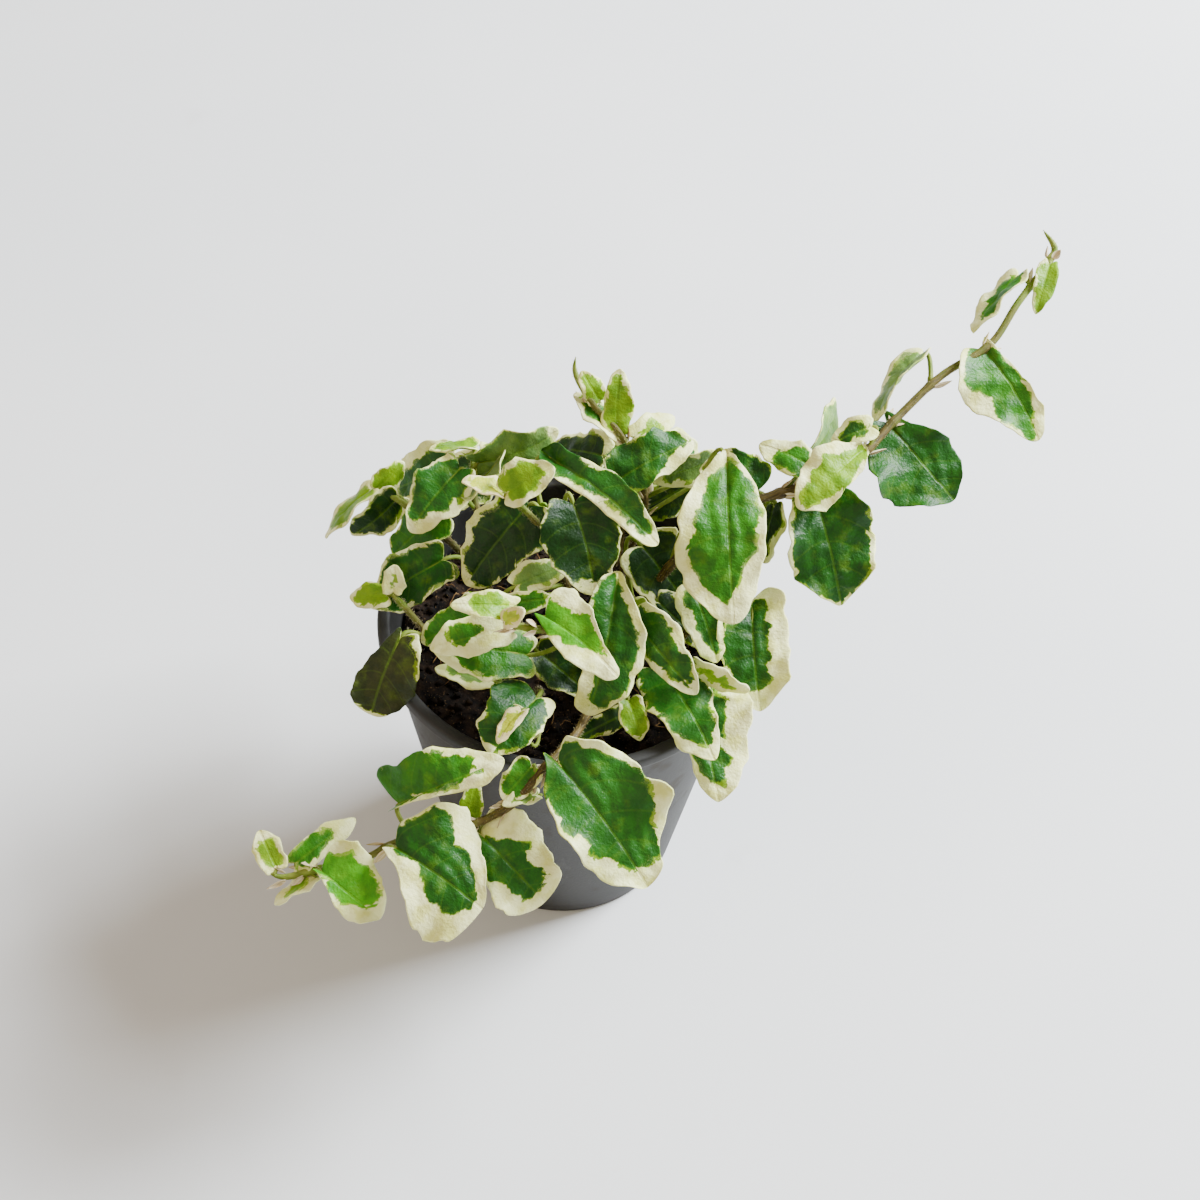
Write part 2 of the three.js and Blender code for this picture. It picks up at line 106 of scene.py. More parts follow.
note_shoot("right_tendril", [
    (9, 3, 42), (12, 4, 56), (20, 7, 69), (28, 9, 75), (34, 11, 76), (43, 15, 79), (49, 22, 81),
    (56, 29, 84), (64, 35, 86), (68, 41, 89), (73, 48, 92), (74, 50, 93), (72, 52, 95),
], [
    (9, (11, 8, 64), (19, 3, 56), 5.4, 5.4, 0, "dark", (0.3, 0.8, 0.8, NONE)),
    (12, (14, 1, 59), (22, -3, 54), 3.2, 3.2, 0, "dark", (0.5, 0.5, 0.8, NONE)),
    (20, (23, 10, 80), (25, -10, 68), [0.8, 2, 4.6, 5.4, 4.8, 3.6, 2.2], [1, 2.5, 6.2, 8, 8.2, 6.6, 3.6], 0,
     "leaf", ([1.5, 1, 0.3, 0.9, 2, 3.2, 3], [2, 2, 2.5, 2.7, 2, 2.8, 4.2], 0.5, 0.6)),
    (28, (28, 11, 75), (19, 13, 77), 3, 5.2, 0, "deep", (0.3, 0.2, 0.5, NONE)),
    (34, (31, 10, 73), (30, 5, 65), 3, 3, 50, "dark", ([0.3, 0.3, 0.4, 1.2, 1.6, 1.2, 0.8], 0.6, 0.8, 0.5)),
    (40, (36, 14, 78), (28, 17, 79), 3, 2.5, 0, "leaf", (0.3, [0.6, 0.6, 0.5, 1.2, 2, 1.7, 1], 2.8, NONE)),
    (40, (37, 19, 77), (40, 28, 79), 3, 3, 60, "grey", (0.2, 0.2, 0.4, NONE)),
    (42, (37, 10, 75), (42, -1, 63), [2.4, 4.4, 7, 7.3, 7, 5, 1.8], [2.2, 3.6, 5.3, 6.4, 6.4, 4.4, 1.8], 0,
     "deep", ([NONE, NONE, 0.1, 0.3, 0.8, 0.6, 0.3], 0.2, 0.3, NONE)),
    (50, (43, 15, 80), (34, 6, 77), [0.8, 1.4, 2.6, 2.9, 3.2, 3.3, 1.8],
     [0.8, 1.8, 3.7, 4.7, 4.2, 3.2, 1.8], 0, "lime",
     ([0.8, 0.5, 0.4, 0.2, 0.6, 1.5, 1], [0.5, 1, 1.6, 1.6, 1.3, 1.6, 1.2], 0.8, NONE)),
    (54, (45, 19, 82), (39, 17, 80), 2.2, 2.4, 0, "deep", (0.9, 1, 1.1, 0.9)),
    (60, (48, 22, 80), (59, 14, 72), [0.8, 1.4, 2.6, 4.6, 5.1, 4.3, 1.8], [2, 3.5, 7.2, 9.2, 8.4, 5.8, 2.6],
     0, "deep", (NONE, NONE, NONE, NONE)),
    (68, (53, 32, 85), (46, 22, 80), 3, 3, 60, "grey", (0.3, 0.8, 1, 0.2)),
    (78, (63, 34, 85), (72, 23, 77), [1, 1.4, 2.1, 2.7, 2.8, 3, 1.7], [2.6, 4.6, 7.3, 7.5, 5.4, 3.6, 1.8],
     0, "leaf", ([0.3, 0.3, 0.2, 0.3, 1, 2.4, 1.8], [0.3, 1, 1, 3, 0.4, 0.9, 0.6], 0.6, NONE)),
    (90, (68, 45, 91), (61, 36, 87), 3, 3, 55, "leaf", (0.6, 1.3, 2.6, NONE)),
    (95, (73, 47, 92), (71, 40, 88), 1.8, 1.8, 0, "lime", (NONE, 0.2, 0.2, NONE)),
], radius=0.75)
note_shoot("front_tendril", [
    (3, -9, 42), (4, -13, 48), (4, -17, 54), (2, -25, 58), (-2, -31, 58), (-6, -35, 55), (-11, -37, 52),
    (-17, -39, 51), (-23, -40, 50), (-28, -42, 48), (-35, -43, 46), (-40, -44, 45), (-42, -44, 46),
], [
    (16, (11, -17, 55), (2, -22, 53), 1.8, 1.8, 0, "dark", (0.2, 0.2, 0.5, NONE)),
    (40, (0, -31, 59), (14, -45, 49), [3, 4.6, 8.3, 9.2, 10.5, 5.6, 3.8], [0.8, 1.6, 4.8, 5.9, 5.7, 5, 2.2],
     0, "blue", ([0.5, 0.5, 1.5, 0.4, 3.6, 0.4, 0.6], [0.1, 0.1, 0.1, 0.7, 1.8, 3.6, 3], 3, NONE)),
    (44, (-4, -31, 58), (-8, -35, 55), 2.6, 2.6, 0, "leaf", (0.8, 0.2, 0.7, NONE)),
    (50, (-3, -34, 55), (-8, -36, 55), 1.4, 1.4, 20, "grey", (0.5, 0.5, 0.8, 0.3)),
    (52, (-11, -38, 50), (-1, -46, 45), [3.5, 5.6, 6.6, 6.8, 5.7, 5, 4.2],
     [0.5, 0.8, 1.7, 4, 5.4, 5.6, 3.6], 0, "blue",
     ([3.5, 5, 4.8, 3, 3.2, 1.6, 4], [0, 0, 0.1, 0.3, 2.4, 3.1, 3.6], 1.6, NONE)),
    (58, (-13, -36, 51), (-12, -32, 55), 1.8, 1.8, 0, "lime", (0.1, 0.1, 0.3, NONE)),
    (70, (-23, -36, 54), (-8, -32, 61), [5, 6.3, 5.3, 5.8, 4.6, 3, 1.4],
     [0.4, 0.5, 0.8, 1.6, 2.2, 2.5, 1.6], 0, "leaf",
     ([NONE, 0.2, NONE, 0, 0.4, 1.6, 1.4], [NONE, 0, 0.2, 0.9, 1.5, 2.6, 1.6], 3.6, NONE)),
    (76, (-23, -42, 51), (-10, -49, 47), [3, 5.2, 9.8, 10.3, 8, 5.5, 2.6], [1, 1.5, 2.8, 6, 8.2, 8, 6], 0,
     "deep", ([0, 0.3, 0.8, 4.4, 2.8, 2.4, 2.6], [0.3, 0.5, 1.8, 3, 4.1, 4.8, 5.2], 1, NONE)),
    (90, (-34, -44, 47), (-25, -49, 43), [3.5, 5.5, 6.4, 6.2, 5, 3.8, 2.2],
     [0.5, 0.6, 1.3, 2.6, 3.2, 2.8, 1.2], 0, "bright",
     ([0.7, 2.1, 1.9, 1.6, 1.1, 0.8, 2], [NONE, 0, 0.1, 0.3, 2.4, 2.9, 3], 1.4, NONE)),
    (93, (-38, -42, 46), (-30, -35, 48), 2.2, 2.2, 0, "leaf",
     ([0.3, 0.2, 0.2, 0.4, 1, 1.5, 1], [0.5, 0.5, 0.5, 1.2, 1.8, 1.5, 1], 4, NONE)),
    (92, (-35, -44, 45), (-41, -47, 42), 1.8, 1.8, 40, "lime", (1, 1, 2.2, 1)),
    (99, (-41, -43, 46), (-44, -38, 48), 2.3, 2.3, 0, "lime", (0.8, 0.8, 1.5, 0.4)),
], radius=0.7)
note_shoot("centre", [
    (2, -5, 42), (4, -10, 55), (2, -14, 65), (-2, -15, 70), (-6, -16, 72), (-9, -16, 73),
], [
    (40, (-4, -11, 60), (4, -14, 54), 3.4, 3.2, 0, "dark", (0.5, 0.3, 0.6, NONE)),
    (60, (7, -7, 71), (4, -21, 58), [1, 1.6, 4.6, 6.4, 6, 5, 2.2], [1.5, 2.5, 3.5, 3.4, 2.4, 2.4, 2.4], 0,
     "blue", ([1, 1.2, 1.5, 1.2, 0.8, 0.7, 0.4], [0.3, 0.2, 0.2, 0.6, 1.2, 1.3, 1.3], 1.2, NONE)),
    (72, (-6, -14, 63), (-20, -15, 65), 4.5, 4, 0, "leaf",
     ([0.3, 0.3, 0.4, 0.6, 0.9, 1.4, 1.6], 0.5, 1.2, NONE)),
    (82, (-3, -14, 72), (8, -22, 69), [3, 5.4, 5.6, 4.7, 2.8, 1.8, 1.2], [0.6, 1, 2, 3, 3.1, 2.2, 1.5], 0,
     "bright", ([0.8, 2.4, 2.6, 0.5, 0.9, 0.4, 1.2], [NONE, NONE, 0.2, 1.2, 3, 3, 3], 0.8, NONE)),
    (88, (-9, -14, 69), (-20, -17, 67), 3, 3.4, 0, "leaf",
     ([3, 3, 3, 2.6, 1.8, 2.2, 2], [2.4, 2.6, 2.2, 1.2, 0.6, 1.4, 1.3], 3, 2.6)),
    (95, (-8, -13, 73), (-17, -15, 75), 2.1, 2.1, 0, "lime",
     ([0.5, 0.4, 0.3, 0.3, 0.5, 1, 1], [1.2, 1.5, 0.8, 0.3, 0.4, 1, 1], 2.4, 0.8)),
    (98, (-9, -16, 73), (-6, -16, 76), 1.6, 1.6, 0, "bud", (0.6, 0.6, 0.8, 0.5)),
], radius=0.7)
note_shoot("upright", [
    (5, 8, 42), (9, 12, 58), (11, 15, 68), (7, 20, 76), (2, 24, 79), (-1, 28, 82), (-1, 29, 84),
], [
    (45, (18, 17, 69), (10, 15, 64), 3.5, 3, 0, "dark", (0.5, 0.3, 0.8, 0.3)),
    (52, (21, 18, 74), (12, 16, 71), 2.8, 2.8, -40, "grey", (0.8, 0.5, 1.6, 0.3)),
    (55, (7, 13, 74), (18, 19, 77), 4.5, 3.6, 0, "blue", (0, [NONE, 0, 0.2, 0.4, 1.6, 2, 1.4], 0.4, NONE)),
    (66, (9, 20, 76), (15, 25, 76), 2.4, 2.4, 0, "lime", (1.2, 1, 3.5, 0.2)),
    (70, (6, 21, 76), (-1, 26, 79), 2.6, 2.2, 20, "leaf", (1.2, 0.6, 1.2, 0.6)),
    (76, (6, 21, 77), (6, 27, 84), 2.4, 2.4, 0, "lime",
     (0.4, [NONE, NONE, 0, 0.2, 0.6, 1, 0.8], 0.6, NONE)),
    (86, (3, 25, 79), (0, 27, 83), 2, 1.8, 0, "lime", (0.3, 0.3, 0.3, NONE)),
])
note_shoot("crown", [
    (-2, 0, 42), (-1, 1, 50), (0, 1, 58), (-3, 4, 68), (-7, 5, 74), (-11, 6, 77),
], [
    (45, (-8, -3, 66), (0, 1, 67), 2.6, 2.4, 0, "grey", (0.7, 0.7, 0.8, 0.5)),
    (50, (-9, -6, 65), (-2, -6, 67), 1.9, 1.9, 0, "leaf", (0.3, 0.4, 0.5, NONE)),
    (60, (0, 6, 75), (4, -4, 66), 5.8, 5.8, 0, "dark", ([0.4, 0.3, 0.2, 0.2, 0.2, 0.4, 1.8], 0, 2, NONE)),
    (70, (-3, 10, 80), (13, -2, 76), [1.5, 2.2, 2.6, 3.8, 3.6, 2.6, 1.4],
     [0.8, 1.8, 2.6, 1.8, 1.8, 1.8, 1.6], 0, "blue",
     ([NONE, NONE, 0, 0, 0.2, 0.4, 1.2], [NONE, 0, 0.3, 0.9, 0.9, 1.2, 1.5], 2.2, NONE)),
    (76, (-7, 7, 73), (-16, 0, 62), 5.5, 5.5, 0, "dark", (0.2, [0.2, 0.3, 0.9, 1, 1, 0.9, 1], 1.3, NONE)),
    (80, (-4, 7, 73), (-6, 6, 69), 1.4, 1.4, 0, "lime", (NONE, NONE, NONE, NONE)),
    (92, (-10, 5, 78), (-3, 7, 82), 3.6, 3, 0, "lime", ([0.4, 0.4, 0.4, 0.6, 0.6, 0.8, 1], 1.1, 1.4, 0.5)),
    (98, (-11, 6, 77), (-17, 6, 79), 2, 2, 30, "bud", (0.6, 0.6, 0.8, 0.5)),
])
note_shoot("back_left", [
    (-6, 6, 42), (-9, 7, 56), (-15, 10, 68), (-16, 14, 72), (-16, 17, 75),
], [
    (75, (-17, 11, 72), (-11, 15, 77), 3.6, 3, 120, "grey", (0.4, 0.6, 0.8, 0.3)),
    (82, (-18, 13, 74), (-25, 5, 68), 4.2, 4.2, 0, "blue",
     ([0.2, 0.3, 0.8, 1.5, 1.8, 1.8, 1], 0.4, 1.6, NONE)),
    (90, (-15, 15, 74), (-3, 19, 78), 4, 4, 50, "grey", (0, 0.3, 1.4, NONE)),
    (98, (-16, 17, 75), (-23, 17, 74), 2.4, 2.4, 50, "lime", (0.3, 0.3, 0.5, NONE)),
])
note_shoot("far_left", [
    (-9, 3, 42), (-11, 4, 50), (-14, 6, 57), (-21, 9, 64), (-27, 12, 67), (-31, 14, 68),
], [
    (50, (-20, 3, 64), (-31, -2, 58), 4.4, 4.4, 0, "deep", (0.3, 0.3, 0.4, NONE)),
    (65, (-21, 9, 68), (-28, 6, 61), 4, 3.6, 0, "leaf", (0.3, 0.3, 0.5, NONE)),
    (85, (-28, 13, 67), (-35, 10, 61), 3.4, 3.4, -50, "dark", (0.6, 0.3, 0.6, 0.2)),
    (96, (-32, 14, 67), (-39, 9, 61), 3, 3, 50, "lime", (0.4, 0.9, 1.6, 0.3)),
    (99, (-31, 14, 68), (-27, 17, 71), 2, 2, 30, "lime", (0.2, 0.2, 0.3, NONE)),
])
note_shoot("left_rim", [
    (-10, -5, 42), (-14, -8, 52), (-19, -10, 58), (-23, -7, 61), (-26, -4, 62), (-28, -2, 62),
], [
    (45, (-11, -14, 56), (-20, -12, 56), 2.2, 2.2, 20, "grey", (1.2, 1, 1.5, 0.8)),
    (60, (-13, -8, 66), (-22, -11, 61), 3, 3, 0, "leaf", (0.4, 0.2, 0.6, NONE)),
    (65, (-25, -12, 63), (-29, -20, 54), [2, 3, 4.3, 5.1, 5.1, 4, 2.4], [0.6, 1.2, 2.2, 3.4, 4.2, 4, 3], 0,
     "olive", ([1, 1, 0.6, 0.2, NONE, NONE, 0.4], NONE, 0.4, NONE)),
    (90, (-27, -3, 63), (-27, 0, 66), 1.8, 1.8, 0, "grey", (1.3, 1.3, 1.4, 1)),
    (97, (-28, -3, 62), (-34, -2, 60), 2.2, 2.2, 0, "lime", (0.3, 0.3, 0.8, NONE)),
])
note_shoot("front_left", [
    (-3, -8, 42), (-4, -13, 53), (-4, -19, 58), (-6, -23, 59),
], [
    (60, (-4, -20, 60), (-10, -30, 59), 3.8, 6, 0, "deep",
     ([0.9, 0.8, 0.4, 0.2, 0.3, 0.4, 0.6], 0.2, 0.8, NONE)),
    (70, (-5, -25, 57), (-8, -22, 61), 2.4, 2.4, 0, "olive", (0.7, 0.7, 0.7, NONE)),
    (95, (-6, -24, 62), (-9, -30, 62), 1.7, 1.7, 30, "bud", (0.6, 0.6, 0.8, 0.5)),
])
note_shoot("middle", [
    (7, -4, 42), (9, -6, 56), (11, -6, 64), (9, -5, 68),
], [
    (42, (10, -18, 58), (12, -23, 55), 2.2, 2.2, 0, "lime", (0.2, 0.2, 0.3, NONE)),
    (95, (10, -8, 66), (20, -19, 62), 4.4, 2.8, 20, "blue",
     ([0.7, 0.8, 1, 1.4, 0.6, 0.8, 1.4], [0.5, 0.5, 0.6, 0.8, 1, 0.9, 1], 0.9, 0.3)),
])
note_shoot("right_side", [
    (13, -2, 42), (14, -4, 50), (17, -5, 57), (21, -4, 62), (26, -3, 65), (28, -2, 65),
], [
    (40, (15, -13, 59), (23, -28, 58), 4.4, 4.8, 0, "blue",
     ([0.3, 0.3, 0.4, 0.5, 0.8, 0.8, 1.6], [0.2, 0.2, 0.3, 0.3, 0.5, 2.4, 1.7], 2.4, NONE)),
    (44, (20, -15, 59), (24, -32, 53), 7, 4, 0, "blue",
     ([2, 2.6, 3.6, 4.6, 3.2, 2.6, 2.5], [0.3, 0.3, 0.3, 0.4, 0.5, 1.2, 1.5], 2.4, NONE)),
    (48, (20, -14, 63), (28, -17, 61), 2, 2, 50, "lime", (1, 1.2, 2, 0.9)),
    (60, (19, -3, 67), (23, -12, 61), 3.3, 3.3, 0, "blue",
     ([0.3, 0.3, 0.3, 0.3, 0.4, 0.8, 1], [0.8, 1, 1.2, 1.4, 1.4, 1.4, 1.2], 0.8, NONE)),
    (98, (28, -3, 65), (30, -17, 56), 5.5, 6, 0, "deep",
     ([1.5, 2, 2.8, 2.8, 2.4, 3.2, 2], [0.5, 0.6, 1, 0.8, 0.4, 1.8, 2.4], 3, NONE)),
])
note_shoot("back_right", [
    (6, 12, 42), (7, 16, 49), (8, 20, 56), (9, 27, 59), (10, 33, 57), (11, 36, 50),
], [
    (45, (13, 24, 61), (25, 28, 56), 5, 5, 0, "leaf", (0.7, 0.5, 1.2, NONE)),
    (55, (4, 30, 61), (-5, 36, 55), 4.2, 4.2, 0, "dark", (0.4, 0.9, 1, 0.2)),
    (75, (13, 36, 56), (21, 42, 46), 5.5, 5, 0, "blue", (1.5, 0.7, 1.8, 0.3)),
    (85, (8, 38, 52), (3, 43, 40), 5, 5.5, 0, "leaf", (0.8, 1.6, 2, 0.3)),
    (98, (11, 37, 49), (14, 41, 39), 3, 3, 0, "bright", (1, 0.7, 1.4, 0.5)),
])
note_shoot("back_middle", [
    (-6, 12, 42), (-8, 16, 49), (-9, 19, 55), (-13, 25, 59), (-18, 29, 58), (-21, 32, 51),
], [
    (50, (-15, 23, 62), (-27, 22, 57), 5, 5, 0, "dark", (0.5, 0.8, 1.2, NONE)),
    (60, (-12, 29, 61), (-12, 38, 52), 4.5, 4.5, 0, "leaf", (1.3, 0.6, 1.6, 0.3)),
    (80, (-21, 30, 57), (-31, 32, 48), 5, 5, 0, "blue", (0.8, 1.6, 1.6, 0.3)),
    (97, (-21, 33, 50), (-20, 40, 40), 4.5, 4.5, 0, "lime", (1.2, 0.8, 1.8, 0.8)),
])
print(len(SHOOTS), "shoots with", sum(len(shoot["leaves"]) for shoot in SHOOTS.values()), "leaves")

# %% [markdown]
# ## From points to meshes
#
# Every piece here is a mesh made in code from rows of points. A piece may be made of many small
# forms, such as blades or hairs, so a Builder collects their points, faces and values, and makes one
# object at the end. The values are mesh attributes: they tell the material where on the leaf a
# point lies, which is how the green and the cream find their places without any image.

# %% A builder of meshes
class Builder:
    """Collects forms, in millimetres, and makes one object of them."""

    def __init__(self):
        self.points, self.faces, self.slots = [], [], []
        self.values = {}
        self.count = 0

    def add(self, points, faces, slot=0, **values):
        """Adds a form. Each value holds a number or a vector for every point."""
        self.points.append(np.asarray(points, dtype=float))
        self.faces += [tuple(int(i) + self.count for i in face) for face in faces]
        self.slots += [slot] * len(faces)
        for name, value in values.items():
            self.values.setdefault(name, []).append(np.asarray(value, dtype=float))
        self.count += len(points)

    def make(self, name, materials, smooth=True):
        """Makes the object, in metres."""
        mesh = bpy.data.meshes.new(name)
        mesh.from_pydata((np.concatenate(self.points) * MM).tolist(), [], self.faces)
        for value_name, parts in self.values.items():
            value = np.concatenate(parts)
            kind, field = ("FLOAT", "value") if value.ndim == 1 else ("FLOAT_VECTOR", "vector")
            attribute = mesh.attributes.new(value_name, kind, "POINT")
            attribute.data.foreach_set(field, value.ravel())
        for material in materials:
            mesh.materials.append(material)
        mesh.polygons.foreach_set("material_index", self.slots)
        mesh.polygons.foreach_set("use_smooth", [smooth] * len(self.faces))
        mesh.update()
        piece = bpy.data.objects.new(name, mesh)
        bpy.context.scene.collection.objects.link(piece)
        return piece


def draw(seed, index):
    """A repeatable draw between 0 and 1, the same as in the part's source."""
    value = math.sin(seed * 12.9898 + index * 78.233) * 43758.5453
    return value - math.floor(value)


def varied(pair, seed, index):
    """A draw from a pair of numbers: the least value, and how much more it can be."""
    return pair[0] + pair[1] * draw(seed, index)


print("A repeatable draw:", round(draw(1, 5), 4))

# %% [markdown]
# ## Stems as smooth curves
#
# A stem is a bent rod that gets thinner towards its tip. It could be a Blender curve with a bevel,
# but a tube made in code lets the thickness swell at each node, where a leaf grows, and gives every
# point its place along the stem for the material. The curve is the same centripetal Catmull-Rom
# curve that the part's source uses, so the fine stem lies exactly in the plain one.

# %% Curves and tubes
STEM_STEPS = 200


def unit(vector):
    return vector / np.linalg.norm(vector)


def polar(radius, angle):
    return radius * math.cos(angle), radius * math.sin(angle)


def facing(axis, angle):
    """The direction across an axis that is nearest to FACING, turned about the axis."""
    outward = unit(FACING - axis * FACING.dot(axis))
    return outward * math.cos(angle) + np.cross(axis, outward) * math.sin(angle)


def bowed(t, start, bend, end):
    """The curve from start to end that bends towards a point between them."""
    return (1 - t) ** 2 * start + 2 * t * (1 - t) * bend + t**2 * end


def hermite(t, gap, start, slope_in, end, slope_out):
    """The curve from start to end with the given slopes, over a gap."""
    return ((2 * t**3 - 3 * t**2 + 1) * start + (t**3 - 2 * t**2 + t) * gap * slope_in
            + (3 * t**2 - 2 * t**3) * end + (t**3 - t**2) * gap * slope_out)


def along_curve(points, count):
    """Points at even distances along the smooth curve through the given points."""
    points = np.asarray(points, dtype=float)
    ends = [2 * points[0] - points[1], *points, 2 * points[-1] - points[-2]]
    dense = []
    for before, start, end, after in zip(ends, ends[1:], ends[2:], ends[3:]):
        gap = [np.linalg.norm(b - a) ** 0.5 for a, b in ((before, start), (start, end), (end, after))]
        slope_in = (start - before) / gap[0] - (end - before) / (gap[0] + gap[1]) + (end - start) / gap[1]
        slope_out = (end - start) / gap[1] - (after - start) / (gap[1] + gap[2]) + (after - end) / gap[2]
        dense += [hermite(t, gap[1], start, slope_in, end, slope_out) for t in np.arange(0, 1, 0.05)]
    dense = np.array([*dense, points[-1]])
    length = np.concatenate([[0], np.cumsum(np.linalg.norm(np.diff(dense, axis=0), axis=1))])
    places = np.linspace(0, length[-1], count)
    return np.column_stack([np.interp(places, length, dense[:, axis]) for axis in range(3)])


def path_length(path):
    return float(np.linalg.norm(np.diff(path, axis=0), axis=1).sum())


def tube(path, radii, sides):
    """A closed tube: its points, its faces, the direction out at each point and the place along it."""
    headings = np.gradient(path, axis=0)
    outward = unit(np.cross(headings[0], [0.3, 0.5, 0.8]))
    points, normals, places = [], [], []
    travelled = 0
    for i, (centre, heading) in enumerate(zip(path, headings)):
        heading = unit(heading)
        outward = unit(outward - heading * outward.dot(heading))
        sideways = np.cross(heading, outward)
        travelled += np.linalg.norm(centre - path[i - 1]) if i else 0
        for side in range(sides):
            angle = 2 * math.pi * side / sides
            normal = math.cos(angle) * outward + math.sin(angle) * sideways
            points.append(centre + radii[i] * normal)
            normals.append(normal)
            places.append((radii[i] * angle, travelled))
    faces = []
    for ring in range(len(path) - 1):
        for side in range(sides):
            here, beside = ring * sides + side, ring * sides + (side + 1) % sides
            faces.append((here, beside, beside + sides, here + sides))
    faces.append(tuple(range(sides))[::-1])
    faces.append(tuple(range((len(path) - 1) * sides, len(path) * sides)))
    return np.array(points), faces, np.array(normals), np.array(places)


for shoot in SHOOTS.values():
    shoot["path"] = along_curve(shoot["stem"], STEM_STEPS)
print("Stem lengths in mm:", {name: round(path_length(shoot["path"])) for name, shoot in SHOOTS.items()})

# %% [markdown]
# ## A leaf blade
#
# A creeping fig leaf is a thin, soft, oblique oval with a small notch at its stalk. Its edge is
# lobed and waved, and the blade is puffed up between its side veins like a quilt. It could be
# sculpted or bent from a flat cut-out, but a formula keeps every leaf in the space of its CAD blade:
# the outline, the arch along the midrib, the cup across it and the long waves are the source's own
# formula. The fine lobes, the frill, the quilt with its dents, the midrib's crease and sway, and the
# thin rounded edge are added here. The quilt, the dents and the crease are shallower on a short leaf,
# and fade out towards the edge.
#
# A place on a blade has two numbers: u runs from the stalk (0) to the tip (1), and v from the left
# edge (-1) over the midrib (0) to the right edge (1). The rows of the mesh run from 0 to 1 as s. On
# a blade with a closed notch the first row lies behind the stalk. Where a size varies from leaf to
# leaf, it is a pair: the least value, and how much more it can be.

# %% The shape of a blade
MESH_CELL = 0.42
EDGE_COLUMN = 0.975
EDGE_THINNING = 0.35
LOBES = [(0.08, 1.7, 1), (0.05, 3.2, 3)]
FINE_LOBES = [(0.035, 5.3, 20), (0.018, 9.7, 22)]
OPEN_BASE = 1.8
BASE_ROW = 0.055
BASE_ROUND = 0.025
NOTCH_POWER = 0.6
BASE_OVERLAP = 0.25
ARCH = (0.03, 0.09)
CUP = (-0.08, 0.3)
WAVE = 0.2
WAVE_COUNT = (1.3, 1)
FRILL = 0.05
FRILL_COUNT = (4.4, 1)
SWAY = 0.06
FULL_RELIEF_LENGTH = 16
VEIN_PAIRS = 5
VEIN_SLANT = 0.45
VEIN_CURVE = 0.15
VEIN_STAGGER = 0.3
PUCKER_DEPTH = 0.36
DENT_SHARE = 0.55
CREASE_DEPTH = 0.12
CREASE_WIDTH = 0.55
BORDER_SHARPNESS = 3.0
BASE_REACH = 0.15


def blade_axes(leaf):
    """Start, direction along the midrib, upper face, right-hand edge and length of a blade."""
    start = np.array(leaf.base, dtype=float)
    span = np.array(leaf.tip, dtype=float) - start
    length = np.linalg.norm(span)
    along = span / length
    face = facing(along, math.radians(leaf.turn))
    return start, along, face, np.cross(along, face), length


def by_rows(value, u, start=None, end=None):
    """A number, or a smooth curve through a number for each of OUTLINE_ROWS."""
    if not isinstance(value, list):
        return value
    angle = np.arccos(1 - 2 * np.array([0, *OUTLINE_ROWS, 1]))
    value = np.array([value[0] if start is None else start, *value, value[-1] if end is None else end])
    slope = np.gradient(value, angle)
    here = np.arccos(1 - 2 * u)
    i = np.clip(np.searchsorted(angle, here) - 1, 0, len(value) - 2)
    gap = angle[i + 1] - angle[i]
    return hermite((here - angle[i]) / gap, gap, value[i], slope[i], value[i + 1], slope[i + 1])


def lobed(lobes, u, seed, side):
    """A factor near 1 that waves along an edge. A lobe has a size, a count and the draw to shift it."""
    return 1 + sum(size * np.sin(2 * math.pi * (count * u + draw(seed, side + first)))
                   for size, count, first in lobes)


def half_width(width, u, seed, side):
    """Half width of a blade in mm, plain or through its own outline, with the fine lobes."""
    if isinstance(width, list):
        half = by_rows(width, u, 0, 0)
    else:
        half = width * np.sin(math.pi * u**0.8) ** 0.6 * lobed(LOBES, u, seed, side)
    return np.maximum(half * lobed(FINE_LOBES, u, seed, side), 0)


def basal_lobe(u):
    """How far the edge lies behind the midrib, as a share of the length."""
    return BASAL_LOBE * np.sqrt(u) * (1 - u) ** 3


def notch_closes(leaf):
    """Whether the lobes behind the stalk meet, as they do on a leaf that starts narrow."""
    return isinstance(leaf.left, list) and max(leaf.left[0], leaf.right[0]) < OPEN_BASE


def lay_rows(leaf, s, v):
    """For the rows of the mesh: u, the share ahead of the stalk, u at the edge, and the end's rounding."""
    if not notch_closes(leaf):
        return s, s - basal_lobe(s) * np.abs(v) ** NOTCH_POWER, s, 1
    u_edge = np.linspace(BASE_ROW, 1, 400)
    edge = u_edge - basal_lobe(u_edge)
    base = edge[0] - BASE_ROUND
    ahead = base + (1 - base) * s
    row = np.interp(ahead, edge, u_edge)
    u = np.clip(ahead + (row - ahead) * np.abs(v) ** NOTCH_POWER, 0, 1)
    return u, ahead, row, np.sqrt(np.clip((ahead - base) / (2 * BASE_ROUND), 0, 1))


def puffed(seed, length, s, vein, across, onward, v):
    """How high the blade stands between its veins, with the dents and the midrib's crease."""
    relief = (1 - v**4) * np.sin(math.pi * np.clip(s, 0.02, 0.98)) ** 0.5
    relief = min(1, length / FULL_RELIEF_LENGTH) * relief
    quilt = PUCKER_DEPTH * relief * (np.abs(np.sin(math.pi * vein)) ** 0.7 - 0.5)
    quilt = quilt * (0.65 + 0.35 * np.sin(1.5 * across + 2.3 * vein + 6 * draw(seed, 15)))
    rising = 1.25 * across + varied((0.5, 0.5), seed, 12) * onward + 3 * np.sin(0.4 * onward + seed)
    falling = 1.5 * onward - varied((0.5, 0.4), seed, 13) * across + 2 * np.sin(0.5 * across + seed)
    dents = DENT_SHARE * PUCKER_DEPTH * relief * np.sin(rising) * np.sin(falling)
    crease = -CREASE_DEPTH * relief * np.exp(-((across / CREASE_WIDTH) ** 2))
    return quilt + dents + crease


